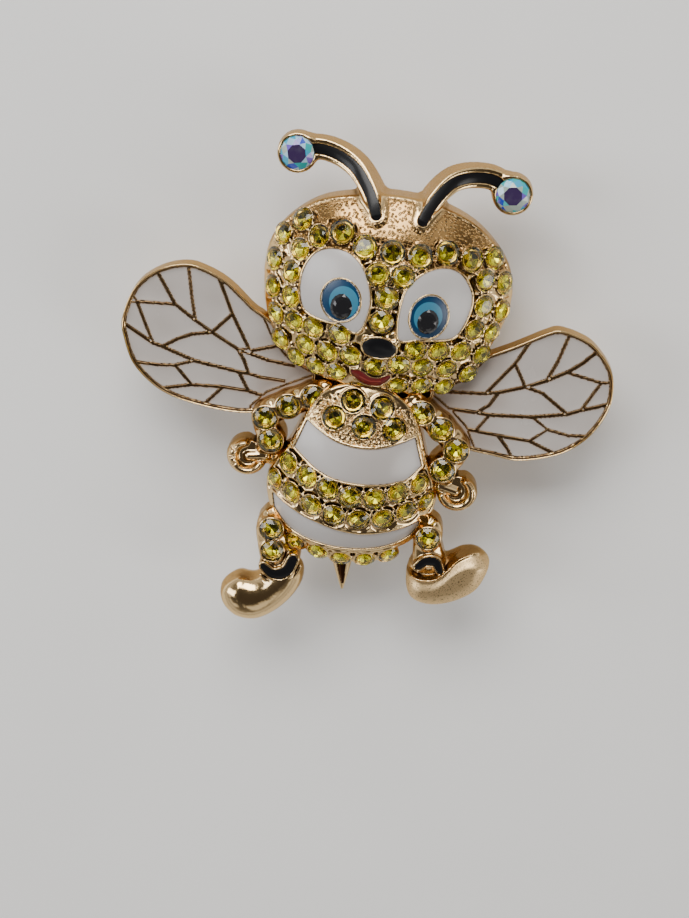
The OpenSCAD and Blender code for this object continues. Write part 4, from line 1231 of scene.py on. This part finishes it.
@dataclass
class BodyCasting:
    """The body with its bands, the cups at its tail and the sting."""
    gold: bpy.types.Material
    step: float = 0.125
    pit: float = 0.19

    def build(self) -> None:
        """Builds the metal of the body."""
        metal = Field((-12, -25.0, FIELD_LOW), (11, 1.6, 14.6), self.step)
        outline = outline_of(BODY, BODY_LOOP)
        at = np.array([s.at for s in SEATS["belly_stones"]])

        def ground(x: Array, y: Array) -> tuple[Array, Array]:
            """The dome, sunk between the stones."""
            return sunk_dome(BODY, beside(at, x, y)[0], x, y)

        metal.add(Slab(outline, BACK, ground, 0.4))
        metal.add(Ridge(outline, BACK, BODY.over(0.06), 0.16, -0.16), 0.2)
        for lines in BANDS.values():
            band = between(BODY, *lines, 4)
            metal.add(Ridge(band, BACK, BODY.over(0.08), 0.15, 0.12), 0.15)
            metal.cut(Pit(band, BACK, BODY.over(-POOL), 0.02))
        set_stones(metal, SEATS["chest_stones"], 0.11, 0.0, 0.24)
        set_stones(metal, SEATS["belly_stones"])
        add_beads(metal, SEATS["belly_stones"])
        tail = SEATS["tail_stones"]
        set_stones(metal, tail, 0.14, 2.0)
        root = min(tail, key=lambda s: abs(s.at[0] + 0.6)).at
        sting = root + np.array([[0.195, -0.585, -1.8], [0.78, -4.75, -2.0]])
        metal.add(Tube(sting, (1.25, 0.13)), 0.3)
        groove = Tube(sting + np.array([[0.02, -0.5, 1.02], [-0.1, 1.1, 0.44]]), (0.5, 0.12))
        metal.cut(groove, 0.05)
        cut_hollow(metal, BODY, BODY_LOOP, 0.66)
        chest = np.array([s.at for s in SEATS["chest_stones"]])
        white = between(BODY, *BANDS["upper"], 4)
        gx, gy = (v.ravel() for v in np.meshgrid(np.arange(-6.5, 5.5, 0.56), np.arange(-8, -0.8, 0.5)))
        gx = gx + 0.28 * (np.round(gy * 2) % 2)
        free = (beside(chest, gx, gy)[0] > 1.42) & (white.distance(gx, gy) > 0.42)
        free &= outline.distance(gx, gy) < -0.6
        for px, py in zip(gx[free], gy[free]):
            metal.cut(Ball(np.array([px, py, float(BODY.surface(px, py)) + 0.02]), self.pit), 0.06)
        skin = metal.skin()
        x, y, z = skin.points.T
        near, _ = beside(chest, x, y)
        band = white.distance(x, y)
        # The pitted crescent of the chest, which the finish paints darker as painted shade
        pitted = step_up(near, 1.35, 1.6) * step_up(band, 0.25, 0.45) * (y > -8) * (y < -1.5)
        pitted *= np.abs(z - BODY.surface(x, y)) < 0.7
        # The sting's groove is painted dark in the shade mask, as painted shade
        groove_shade = 0.8 * (groove.distance(x, y, z) < 0.08) * (z < 11)
        skin.values["cavity"] = np.maximum(skin.values["cavity"], groove_shade)
        cast("body_casting", dressed(skin, 0.35 * pitted), self.gold)


@dataclass(frozen=True)
class RootFlat(Flat):
    """What lies inside a wing's rim beyond its drawn cells, towards the root."""
    outline: Loops
    cells: Loops
    rim: float = 0.5
    vein: float = 0.27

    def box(self) -> tuple[Array, Array]:
        """Its lowest and highest corner."""
        return self.outline.box()

    def distance(self, x: Array, y: Array) -> Array:
        """Signed distance at each place."""
        return np.maximum(self.outline.distance(x, y) + self.rim, self.vein - self.cells.distance(x, y))


@dataclass
class WingPanel:
    """A wing: a plate with raised veins and white enamel between them."""
    side: Side
    gold: bpy.types.Material
    pearl: bpy.types.Material
    step: float = 0.095
    thickness: float = 1.7
    trim: float = 0.07
    vein: float = 0.34

    def outline(self) -> Loops:
        """The wing's outline."""
        x, y, length, width = WING_SIZE[self.side.value]
        rows = np.array(WING[self.side.value])
        points = np.stack([x + self.side.sign * rows[:, 0] * length, y + rows[:, 1] * width / 2], 1)
        return Loops.of(spline(points, 5, True))

    def cells(self) -> Loops:
        """Edges of the enamel cells, read off the top of the CAD's enamel."""
        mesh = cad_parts[f"{self.side.value}_wing_enamel"].data
        points = np.round(corners_of(mesh), 3)
        top = points[:, 2] > points[:, 2].max() - 0.01
        edges: dict[tuple, int] = {}
        for polygon in mesh.polygons:
            corners = list(polygon.vertices)
            if top[corners].all():
                for a, b in zip(corners, corners[1:] + corners[:1]):
                    key = tuple(sorted((tuple(points[a, :2]), tuple(points[b, :2]))))
                    edges[key] = edges.get(key, 0) + 1
        border = np.array([k for k, n in edges.items() if n == 1])
        return Loops(border[:, 0], border[:, 1])

    def build(self) -> None:
        """Builds the plate and its enamel."""
        outline, cells = self.outline(), self.cells()
        root = RootFlat(outline, cells, vein=self.vein - self.trim)
        low, high = outline.box()
        top_z = BACK + self.thickness
        metal = Field((*low, FIELD_LOW), (*high, 9.4), self.step)

        def relief(x: Array, y: Array) -> tuple[Array, Array]:
            """Veins and rim as rounded walls, and the floor of the cells."""
            cell, rim = cells.distance(x, y) - self.trim, -outline.distance(x, y)
            wire = 0.32 * np.exp(-((rim - 0.16) / 0.17) ** 2)
            z = top_z - 0.01 - 0.03 * step_up(cell, 0.05, 0.12) * step_up(rim, 0.3, 0.42) + wire
            sunk = (cell < -0.04) | ((cell > root.vein + 0.04 - self.trim) & (rim > root.rim + 0.04))
            return np.where(sunk, top_z - 0.6, z), np.array(0.8)

        metal.add(Slab(outline, BACK, relief, 0.05, 0, 0.03, 9.3))
        skin = metal.skin()
        x, y, z = skin.points.T
        rim, cell = -outline.distance(x, y), cells.distance(x, y) - self.trim
        # The veins' tops and a line inside the rim are painted dark brown in the shade mask, as painted shade and
        # dark reflection
        vein = step_up(cell, -0.06, 0.03) * step_up(rim, 0.36, 0.44) * (1 - step_up(cell, 0.19, 0.26))
        lines = np.maximum(0.68 * vein, 0.9 * np.exp(-((rim - 0.33) / 0.08) ** 2)) * (z > 8)
        skin.values["cavity"] = np.maximum(0.6 * skin.values["cavity"], lines)
        wall = 0.8 * (skin.normals[:, 2] < 0.4) * (skin.normals[:, 2] > -0.5)
        cast(f"{self.side.value}_wing_plate", dressed(skin, None, wall), self.gold)

        def pour(x: Array, y: Array, inside: Array) -> Array:
            """Height of the enamel, a little hollow between its walls."""
            return top_z - DROP - 0.10 + 0.06 * np.exp(-inside / 0.2) + 0.04 * np.exp(-inside / 1.0)

        def shade(x: Array, y: Array) -> Array:
            """Darker towards the root as painted shadow, and in clouds, so that each cell has its own tone."""
            cloud = np.sin(0.55 * x + 0.8 * y) * np.cos(0.45 * x - 0.6 * y)
            return 0.38 + 0.3 * step_up(-np.abs(x), -17.0, -8.0) + 0.08 * cloud

        for name, flat in (("wing", cells), ("wing_root", root)):
            sheet = pour_sheet(flat, 0.12, pour, 0.05 + self.trim, shade)
            make_piece(f"{self.side.value}_{name}_pour", sheet, self.pearl,
                       f"{self.side.value}_wing_enamel")


def poured(ground: Callable[[Array, Array], Array], base: float, swell: float, reach: float) -> Fill:
    """Height of enamel that lies base over the ground and swells away from its walls."""
    return lambda x, y, d: ground(x, y) + base + swell * (1 - np.exp(-d / reach))


def pour_sheet(flat: Flat, step: float, height: Fill, lap: float = 0.1,
               tone: Callable[[Array, Array], Array] | None = None) -> Skin:
    """The face of poured enamel inside a figure.

    Args:
        flat: The figure.
        step: Distance between vertices.
        height: Height over a place, which is also given its distance from the wall.
        lap: How far the sheet runs in under the wall.
        tone: Share of the second colour over a place.

    Returns:
        The sheet.
    """
    low, high = flat.box()
    x = np.arange(low[0] - 2 * step, high[0] + 2.5 * step, step)
    y = np.arange(low[1] - 2 * step, high[1] + 2.5 * step, step)
    gx, gy = np.meshgrid(x, y, indexing="ij")
    d = flat.distance(gx, gy)
    z = height(gx, gy, np.maximum(-d, 0))
    keep = d < lap
    number = np.full(d.shape, -1)
    number[keep] = np.arange(keep.sum())
    corners = [number[:-1, :-1], number[1:, :-1], number[1:, 1:], number[:-1, 1:]]
    quads = np.stack([c.ravel() for c in corners], 1)
    quads = quads[(quads >= 0).all(1)]
    slope_x, slope_y = np.gradient(z, step)
    normals = np.stack([-slope_x, -slope_y, np.ones_like(z)], -1)[keep]
    normals /= np.linalg.norm(normals, axis=1)[:, None]
    # Near the wall the enamel takes its edge colour, as painted shade and reflection of the metal
    values = {"cavity": 0.9 * np.exp(-np.maximum(-d[keep], 0) / 0.09),
              "tone": np.zeros(keep.sum()) if tone is None else tone(gx[keep], gy[keep])}
    return Skin(np.stack([gx[keep], gy[keep], z[keep]], 1), quads, normals, values)


def sock_band(side: Side, out: float = 0.0) -> Stroke:
    """The crescent of a sock, made wider by out on each side."""
    points = spline(from_neck(SOCK[side.value]), 6, False)
    halves = {Side.LEFT: (0.34, 0.62, 0.5), Side.RIGHT: (0.36, 0.56, 0.32)}[side]
    return Stroke(points, np.interp(np.linspace(0, 1, len(points)), [0, 0.5, 1], halves) + out)


@dataclass
class LimbSet:
    """An arm, hand, leg and boot of one side."""
    side: Side
    gold: bpy.types.Material
    step: float = 0.125
    arm_top: float = 10.6
    leg_top: float = 10.5
    hand_radius: float = 2.35
    hand_height: float = 3.0
    boot_half: tuple[float, float] = (4.75, 4.3)

    def add_arm(self, metal: Field) -> None:
        """Adds the arm, a little wider at each stone."""
        rows = spline(from_neck(ARM[self.side.value]), 8, False)
        line = Stroke(rows[:, :2], np.full(len(rows), 1.5))
        tops = BACK + (self.arm_top - BACK) * np.minimum(rows[:, 2], 1)
        metal.add(Slab(line, BACK, crowned(line, tops, 0.55), 0.5), 0.3)
        cup_stones(metal, SEATS[f"{self.side.value}_arm_stones"], 0.30, 3.5, 0.4)

    def add_hand(self, metal: Field) -> None:
        """Adds the curled hand with its fingers and palm."""
        s = self.side.sign
        middle, start, sweep = HAND[self.side.value]
        at, along = np.array(middle) + NECK, np.linspace(0, 1, 25)
        angle = np.radians(start + sweep * along)
        half = np.interp(along, [0, 0.3, 1], [0.5, 0.74, 0.6])
        curl = Stroke(at + (self.hand_radius - 0.68) * np.stack([np.cos(angle), np.sin(angle)], 1), half)
        metal.add(Slab(curl, BACK, crowned(curl, np.full(25, BACK + self.hand_height + 0.15), 0.85), 0.3), 0.2)
        spot = np.array([at, at + (0.01, 0)])
        thumb = np.array([at - (0.15 * s, -0.05), at - (1.9 * s, -0.35)])
        web, palm = Stroke(spot, np.full(2, 1.9)), Stroke(thumb, np.array([0.86, 0.9]))
        metal.add(Slab(web, BACK, level(BACK + self.hand_height * 0.78), 0.3), 0.3)
        top = BACK + self.hand_height * 0.95
        metal.add(Slab(palm, BACK, crowned(palm, np.full(2, top), 0.85), 0.3), 0.15)
        if self.side is Side.LEFT:
            for k in (5, 8, 11):
                out = (curl.points[k] - at) / np.linalg.norm(curl.points[k] - at)
                rows = [[*(curl.points[k] - 0.3 * out), top + 0.35], [*(curl.points[k] + 0.6 * out), top - 0.15]]
                metal.cut(Tube(np.array(rows), (0.14, 0.17)), 0.12)
        else:
            for shift in (-0.02, 0.36):
                ring = at + (curl.points[1:13] - at) * (1 + shift / self.hand_radius)
                rows = np.column_stack([ring, np.full(12, top + 0.36 - 1.0 * shift)])
                metal.cut(Tube(rows, (0.1,) * 12), 0.1)

    def add_leg(self, metal: Field) -> None:
        """Adds the leg, the boot and the sock's rims."""
        name = self.side.value
        rows = spline(from_neck(LEG[name]), 4, False)
        shin = Stroke(rows[:, :2], rows[:, 2])
        tops = BACK + (self.leg_top - BACK) * np.minimum(rows[:, 3], 1)
        metal.add(Slab(shin, BACK, crowned(shin, tops, 0.6), 0.4), 0.3)
        middle = np.array(BOOT_AT[name]) + NECK
        loop = Loops.of(spline(middle + np.array(BOOT[name]) * self.boot_half, 5, True))
        sole = spline(from_neck(SOLE), 4, False)

        def toe(x: Array, y: Array) -> tuple[Array, Array]:
            """The puffed top of the boot; the right one's upper lies behind the edge of its sole."""
            t = np.clip(-loop.distance(x, y) / (2.9 if self.side is Side.LEFT else 2.0), 0, 1)
            z = BACK + 4.4 * (0.36 + 0.60 * np.sqrt(1 - (1 - t) ** 2))
            if self.side is Side.RIGHT:
                above = y - np.interp(x, sole[:, 0], sole[:, 1]) + 0 * z
                z = z - 1.1 * step_up(above, 0.08, 0.42) * (1 - 0.8 * step_up(above, 0.9, 2.2))
                z = z - 0.35 * step_up(above, -1.6, -0.2) * (1 - step_up(above, -0.2, 0.1))
                z = z + 0.30 * np.exp(-((above + 0.04) / 0.2) ** 2)
            return z, np.array(0.75)

        metal.add(Pebble(loop, BACK, toe, 0.6, 0.4), 0.25)
        line = spline(from_neck(SOCK[name]), 6, False)
        heel = rows[-1, :2]
        if self.side is Side.LEFT:
            cuff = heel + (line - heel) * (1 + 1.15 / np.linalg.norm(line - heel, axis=1))[:, None]
            cuff = np.column_stack([cuff, np.full(len(cuff), 10.45)])[3:-3]
            metal.add(Tube(cuff, (0.2,) * len(cuff)), 0.2)
        metal.add(Slab(sock_band(self.side, 0.24), BACK + 1, level(11.0), 0.25), 0.15)
        metal.cut(Pit(sock_band(self.side), BACK, level(10.3), 0.05), 0.05)
        seats = SEATS["left_leg_stones" if self.side is Side.LEFT else "right_leg_stone"]
        cup_stones(metal, seats, 0.28, 3.0, 0.35)

    def build(self) -> None:
        """Builds the metal of the two limbs."""
        for limb, parts in (("arm", (self.add_arm, self.add_hand)), ("leg", (self.add_leg,))):
            low, high = LIMB_BOX[self.side.value][limb]
            metal = Field((*low, FIELD_LOW), high, self.step)
            for add in parts:
                add(metal)
            skin = metal.skin()
            side_wall = 0.55 * (np.abs(skin.normals[:, 2]) < 0.5)
            satin = np.zeros(len(side_wall))
            if limb == "leg" and self.side is Side.RIGHT:
                x, y, z = skin.points.T
                above = y - np.interp(x, *spline(from_neck(SOLE), 4, False).T)
                upper = step_up(above, 0.2, 0.5) * (1 - step_up(above, 1.6, 2.6)) * (z < 11.2) * (x > 10.5)
                side_wall = np.maximum(side_wall, upper * (skin.normals[:, 2] > 0.2))
                satin = step_up(-above, 0.25, 0.5) * (x > 6.5)
            cast(f"{self.side.value}_{limb}_casting", dressed(skin, None, side_wall, satin), self.gold)


@dataclass
class Enamels:
    """The poured faces of the eyes, nose, mouth, bands, antennae and socks."""
    finishes: dict[str, bpy.types.Material]

    def sheet(self, name: str, node: str, finish: str, skin: Skin) -> None:
        """Makes one poured piece."""
        make_piece(name, skin, self.finishes[finish], node)

    def pour_eye(self, side: Side) -> None:
        """Pours an eye's white and its iris, which is lighter round the pupil."""
        name = side.value
        white, iris = eye_loops(side)
        fill = poured(HEAD.surface, 0.12, 0.14, 0.5)
        self.sheet(f"{name}_white_pour", f"{name}_eye_white", "white_enamel", pour_sheet(
            white, 0.11, lambda x, y, d: fill(x, y, d) - 0.5 * (iris.distance(x, y) < -0.1)))
        inner = Loops.of(HEAD.oval(tuple(np.array(PUPIL[name]) * (1, 1, 1.2, 1.24) + (0.004, 0.045, 0, 0))))
        self.sheet(f"{name}_iris_pour", f"{name}_iris", "blue_enamel", pour_sheet(
            iris, 0.06, poured(HEAD.surface, 0.16, 0.06, 0.3), 0.06,
            lambda x, y: step_up(-inner.distance(x, y), -0.05, 0.05)))

    def build(self) -> None:
        """Pours every enamel but that of the wings."""
        for side in Side:
            self.pour_eye(side)
        self.sheet("nose_pour", "nose_enamel", "black_enamel", pour_sheet(
            Loops.of(HEAD.oval(NOSE, 0.08)), 0.07, poured(HEAD.surface, 0.14, 0.3, 0.5)))
        # A painted highlight along the mouth, in the red enamel's second colour
        mouth_glint = Stroke(spline(HEAD.placed(MOUTH_GLINT), 6, False), np.full(13, 0.07))
        self.sheet("mouth_pour", "mouth_enamel", "red_enamel", pour_sheet(
            between(HEAD, *MOUTH, 5), 0.05, poured(HEAD.surface, -0.12, 0.1, 0.3), 0.06,
            lambda x, y: step_up(-mouth_glint.distance(x, y), -0.03, 0.03)))
        # The white bands are painted darker about their middle, in the second colour, as painted shade
        for name, lines in BANDS.items():
            self.sheet(f"{name}_band_pour", f"{name}_belly_band", "white_enamel", pour_sheet(
                between(BODY, *lines, 4), 0.12, poured(BODY.surface, -0.14, 0.12, 0.5), 0.06,
                lambda x, y: 0.40 + 0.22 * np.exp(-((x - 1.5) / 4.0) ** 2)))
        for side in Side:
            antenna = Antenna(side)
            line, heights = antenna.line()
            for name, flat, step, fill in (
                    ("antenna", antenna.channel(), 0.08,
                     poured(lambda x, y: line.read(x, y, heights)[1], -0.16, 0.08, 0.25)),
                    ("sock", sock_band(side), 0.07, poured(lambda x, y: 10.86, 0, 0.1, 0.2))):
                self.sheet(f"{side.value}_{name}_pour", f"{side.value}_{name}_enamel", "black_enamel",
                           pour_sheet(flat, step, fill, 0.06))


@dataclass(frozen=True)
class Brilliant:
    """The facets of a round stone as shares of its diameter."""
    table: float = 0.285
    table_height: float = 0.17
    mid: float = 0.41
    mid_height: float = 0.095
    girdle: float = 0.5
    belt: float = 0.02
    low_mid: float = 0.30
    low_height: float = -0.17
    culet: float = -0.285

    def facets(self, seat: Seat, turn: float) -> tuple[list[Array], list[list[int]], list[int]]:
        """Corners and facets of one stone.

        Args:
            seat: Where it sits.
            turn: How far it is turned round its axis, in radians.

        Returns:
            Corners, facets and the material number of each facet.
        """
        d, eighth = seat.diameter, np.pi / 4
        rings = [(self.table, 8, 0, 1, self.table_height), (self.mid, 8, 0.5, 1, self.mid_height),
                 (self.girdle, 16, 0, 2, self.belt), (self.girdle, 16, 0, 2, -self.belt),
                 (self.low_mid, 8, 0.5, 1, self.low_height)]
        points = [seat.spot(radius * d, turn + (i + shift) * eighth / parts, height * d)
                  for radius, count, shift, parts, height in rings for i in range(count)]
        points.append(seat.spot(0, 0, self.culet * d))
        t, m, g, u, n, c = 0, 8, 16, 32, 48, 56
        faces, kinds = [list(range(8))], [0]
        for i in range(8):
            j = (i + 1) % 8
            top = [[t + i, m + i, t + j], [t + j, m + i, g + 2 * j, m + j],
                   [m + i, g + 2 * i, g + 2 * i + 1], [m + i, g + 2 * i + 1, g + 2 * j]]
            below = [[n + j, u + 2 * j, n + i, c], [u + 2 * i + 1, u + 2 * i, n + i],
                     [u + 2 * j, u + 2 * i + 1, n + i]]
            faces += top + below
            kinds += [0] * 4 + [1, 2, 2]
        for i in range(16):
            j = (i + 1) % 16
            faces.append([u + i, u + j, g + j, g + i])
            kinds.append(1)
        return points, faces, kinds


@dataclass
class StoneField:
    """The stones of one CAD node as cut glass on foil."""
    node: str
    glass: bpy.types.Material
    foil: bpy.types.Material
    slot: str
    seed: int
    tilt: float = 0.05
    swell: float = 1.0
    deep: float = 0.0
    painted: bool = False

    def tones(self, seat: Seat, corners: Sequence[Array], shapes: Sequence[list[int]],
              rng: np.random.Generator) -> list[float]:
        """How dark each facet's foil is painted, as painted light and shade: bright where the stone or the facet
        looks down and aside, with a random share as painted reflection.
        """
        base = 0.42 + self.deep + 0.75 * seat.axis[1] - 0.35 * abs(seat.axis[0]) + rng.uniform(-0.12, 0.12)
        out = []
        for shape in shapes:
            lean = (np.mean([corners[k] for k in shape], 0) - seat.at) / seat.diameter
            out.append(float(np.clip(base + 0.7 * lean[1] + 0.35 * lean[0] + rng.uniform(-0.6, 0.6), 0, 1)))
        return out

    def build(self) -> None:
        """Builds the stones."""
        rng = np.random.default_rng(self.seed)
        points: list[Array] = []
        faces: list[list[int]] = []
        glassy: list[int] = []
        tones: list[float] = []
        for seat in SEATS[self.node]:
            lean = seat.axis + rng.normal(0, self.tilt, 3)
            lean /= np.linalg.norm(lean)
            across = np.cross(np.cross(lean, seat.across), lean)
            own = Seat(seat.at, lean, across / np.linalg.norm(across), seat.diameter * self.swell)
            corners, shapes, kinds = Brilliant().facets(own, rng.uniform(0, 6.28))
            if self.painted:
                tones += [1.0] + [float(rng.integers(0, 6)) * 0.16 for _ in shapes[1:]]
            else:
                tones += self.tones(own, corners, shapes, rng)
            faces += [[len(points) + k for k in shape] for shape in shapes]
            points += corners
            glassy += [0 if k == 0 else 1 for k in kinds]
        mesh = bpy.data.meshes.new(f"{self.node}_cut")
        mesh.from_pydata((np.array(points) * MM).tolist(), [], faces)
        mesh.polygons.foreach_set("material_index", glassy)
        mesh.attributes.new("tone", "FLOAT", "FACE").data.foreach_set("value", tones)
        place(mesh, [self.glass, self.foil], self.node)


@dataclass
class Pupil:
    """A black faceted oval stone."""
    side: Side
    glass: bpy.types.Material

    def build(self) -> None:
        """Builds the stone."""
        row = PUPIL[self.side.value]
        mid = HEAD.placed([row[:2]])[0]
        wide, long = row[2] * HEAD.half[0], row[3] * HEAD.half[1]
        low = float(HEAD.surface(*mid)) - 0.2
        points, faces = [], [list(range(16))]
        for share, up, turn in ((0.56, 0.78, 0.0), (0.80, 0.66, 0.5), (1.0, 0.42, 0.0), (1.0, 0.05, 0.0)):
            for i in range(16):
                a = 2 * np.pi * (i + turn) / 16
                points.append((mid[0] + wide * share * np.cos(a), mid[1] + long * share * np.sin(a), low + up))
        for i in range(16):
            j = (i + 1) % 16
            faces += [[j, i, 16 + i], [16 + i, 32 + i, 32 + j], [16 + i, 32 + j, 16 + j], [16 + i, 16 + j, j],
                      [32 + i, 48 + i, 48 + j, 32 + j]]
        mesh = bpy.data.meshes.new(f"{self.side.value}_pupil_cut")
        mesh.from_pydata([tuple(c * MM for c in p) for p in points], [], faces)
        place(mesh, [self.glass], f"{self.side.value}_pupil")


@dataclass
class PinFitting:
    """Bar, hinge, stem and catch behind the figure."""
    steel: bpy.types.Material
    length: float = 28.0
    width: float = 5.0
    plate: float = 0.8
    block: float = 2.4
    stem: float = 0.9
    stem_heights: tuple[float, float, float] = (1.2, 1.22, 1.3)

    def build(self) -> None:
        """Builds the fitting."""
        top = BACK - 0.03
        end, (rest, low, tip) = self.length / 2, self.stem_heights
        knuckle = self.block / 2 - end
        metal = Field((-end - 0.3, -3, -0.3), (end + 0.3, 3, top + 0.3), 0.13)
        half = self.width / 2
        plate = Stroke(np.array([(-end + half, 0), (end - half, 0)]), np.array([half, half]))
        metal.add(Slab(plate, top - self.plate, level(top), 0.1))
        for side in (-1, 1):
            for turn in (-1, 1):
                wall = np.array([(side * (end - 1.9), turn * 2.0), (side * (end - 0.55), turn * 2.0)])
                metal.add(Slab(Stroke(wall, np.array([0.5, 0.5])), 0, level(top - 0.1), 0.05), 0.3)
            if side < 0:
                for reach, radius, blend in ((2.2, 0.75, 0.1), (2.45, 0.4, 0.05)):
                    axle = np.array([(knuckle, -reach, rest), (knuckle, reach, rest)])
                    metal.add(Tube(axle, (radius, radius)), blend)
            else:
                hook = [(-knuckle, y, z) for y, z in ((-1.6, 1.6), (-0.9, 0.75), (0, 0.5), (0.9, 0.75), (1.6, 1.6))]
                metal.add(Tube(np.array(hook), (0.45,) * 5), 0.2)
        stem = np.array([(knuckle, 0, rest), (end - 3.5, 0, low), (end - 0.6, 0, tip)])
        metal.add(Tube(stem, (self.stem / 2, self.stem / 2, 0.16)), 0.1)
        for spot in (-7.5, 0.0, 7.5):
            metal.add(Ball(np.array([spot, 0, top - self.plate + 0.35]), 0.8), 0.25)
        make_piece("pin_fitting", metal.skin(), self.steel, "pin_back")


@dataclass
class PhotoCamera:
    """A camera at the photograph's angle."""
    tilt: float = 20.0
    roll: float = 9.0
    distance: float = 180.0
    height: float = 9.0
    shift: tuple[float, float] = (-3.32, -8.22)
    lens: float = 63.53

    def build(self) -> None:
        """Makes the camera and sets it as the scene's."""
        t, r = np.radians(self.tilt), np.radians(self.roll)
        back = np.array([0, np.sin(t), np.cos(t)])
        right, up = np.array([1.0, 0, 0]), np.array([0, np.cos(t), -np.sin(t)])
        across, upward = np.cos(r) * right + np.sin(r) * up, -np.sin(r) * right + np.cos(r) * up
        aim = np.array([0, 0, self.height]) + self.shift[0] * across + self.shift[1] * upward
        at = (aim + self.distance * back) * MM
        data = bpy.data.cameras.new("photo_camera")
        data.lens, data.sensor_width, data.sensor_height, data.sensor_fit = self.lens, 36, 36, "VERTICAL"
        data.clip_start, data.clip_end = 0.01, 10
        camera = bpy.data.objects.new("photo_camera", data)
        rows = np.column_stack([across, upward, back, at]).tolist()
        camera.matrix_world = Matrix(rows + [(0, 0, 0, 1)])
        bpy.context.scene.collection.objects.link(camera)
        bpy.context.scene.camera = camera


@dataclass
class Studio:
    """Pale floor, soft lights and a plain sky."""
    half: float = 1.5

    def light(self, name: str, at: Sequence[float], size: tuple[float, float], watts: float,
              colour: Colour) -> None:
        """Adds a soft rectangular light that faces the brooch."""
        data = bpy.data.lights.new(name, "AREA")
        data.shape, data.size, data.size_y, data.energy, data.color = "RECTANGLE", *size, watts, colour
        lamp = bpy.data.objects.new(name, data)
        lamp.location = Vector(at)
        lamp.rotation_euler = (Vector((0, 0, 0.01)) - lamp.location).to_track_quat("-Z", "Y").to_euler()
        bpy.context.scene.collection.objects.link(lamp)

    def sky(self) -> None:
        """A room that is bright low down and dim overhead, with soft panes of light between."""
        world = bpy.data.worlds.new("studio_sky")
        world.use_nodes = True
        bpy.context.scene.world = world
        g = Graph(world.node_tree)
        way = g.node("ShaderNodeTexCoord", None, None, "Generated")
        up = g.node("ShaderNodeSeparateXYZ", None, {0: way}, 2)
        room = g.node("ShaderNodeValToRGB", {"stops": (
            (0.0, (0.56, 0.545, 0.53)), (0.22, (0.62, 0.62, 0.63)), (0.40, (0.17, 0.16, 0.15)),
            (0.8, (0.07, 0.065, 0.06)), (1.0, (0.06, 0.052, 0.047)))}, {0: up})
        panes = g.node("ShaderNodeTexNoise", None, {"Vector": way, "Scale": 1.9, "Detail": 1.0}).ramp(0.50, 0.60)
        middle = up.ramp(0.28, 0.45) * (1 - up.ramp(0.72, 0.9))
        g.put(g.nodes["Background"].inputs[0], g.mix(panes * middle * 0.8, room, (0.95, 0.94, 0.92)))
        g.put(g.nodes["Background"].inputs[1], 1.1)

    def build(self) -> None:
        """Builds the studio."""
        mesh = bpy.data.meshes.new("floor")
        corners = [(x * self.half, y * self.half, 0) for x, y in ((-1, -1), (1, -1), (1, 1), (-1, 1))]
        mesh.from_pydata(corners, [], [(0, 1, 2, 3)])
        floor = bpy.data.objects.new("floor", mesh)
        bpy.context.scene.collection.objects.link(floor)
        mesh.materials.append(Paper().build())
        self.sky()
        self.light("window", (-0.16, 0.46, 0.42), (0.5, 0.3), 4.0, (1.0, 0.98, 0.95))
        self.light("left_panel", (-0.5, 0.02, 0.34), (0.22, 0.4), 1.5, (0.95, 0.97, 1.0))
        self.light("right_panel", (0.5, -0.12, 0.3), (0.2, 0.36), 1.1, (1.0, 0.97, 0.93))


def main() -> None:
    """Builds the brooch, its floor, lights and camera."""
    logging.basicConfig(level=logging.INFO, format="%(message)s")
    PhotoCamera().build()
    gold = Plating().build()
    # Each enamel's edge colour is painted shade and reflection of the metal wall
    enamels = {e.name: e.build() for e in (
        # The white's second colour is painted shade on the bands
        Enamel("white_enamel", (0.50, 0.475, 0.46), (0.43, 0.395, 0.37), (0.34, 0.25, 0.18)),
        Enamel("black_enamel", (0.006, 0.006, 0.007), (0.01, 0.01, 0.01), (0.003, 0.002, 0.002), coat=0.12,
               coat_roughness=0.2, gloss=0.25),
        # The red's second colour is a painted highlight along the mouth
        Enamel("red_enamel", (0.15, 0.008, 0.008), (0.30, 0.04, 0.025), (0.05, 0.005, 0.004), coat=0.15),
        Enamel("blue_enamel", (0.003, 0.038, 0.10), (0.045, 0.21, 0.33), (0.004, 0.02, 0.05), coat=0.15))}
    # The wing enamel's second colour is painted shadow towards the root; its edge colour is painted shade and
    # reflection of the veins
    pearl = Enamel("wing_enamel", (0.48, 0.44, 0.41), (0.36, 0.31, 0.275), (0.40, 0.27, 0.16), roughness=0.26,
                   coat=0.4).build()
    HeadCasting(gold).build()
    BodyCasting(gold).build()
    for side in Side:
        WingPanel(side, gold, pearl).build()
        LimbSet(side, gold).build()
    Enamels(enamels).build()
    citrine = Glass("citrine_glass", (0.97, 0.92, 0.19)).build()
    # The foil's light, darker and darkest colours, which the facets are painted with as painted light and shade
    foil = Foil("citrine_foil", (1.0, 0.96, 0.22), (0.40, 0.37, 0.07), (0.07, 0.066, 0.015)).build()
    aurora = Aurora().build()
    for seed, node in enumerate(STONE_NODES):
        if "antenna" in node:
            StoneField(node, aurora, aurora, "crystal_glass", seed, tilt=0.02, painted=True).build()
        else:
            swell, deep = STONE_LOOKS.get(node, (1.11, 0.2))
            StoneField(node, citrine, foil, "citrine_glass", seed, swell=swell, deep=deep).build()
    onyx = Enamel("black_glass", (0.014, 0.014, 0.016), (0.01, 0.01, 0.01), (0.01, 0.01, 0.01), roughness=0.07,
                  coat_roughness=0.02, ripple=0.0).build()
    for side in Side:
        Pupil(side, onyx).build()
    PinFitting(Steel().build()).build()
    Studio().build()


if __name__ == "__main__":
    main()
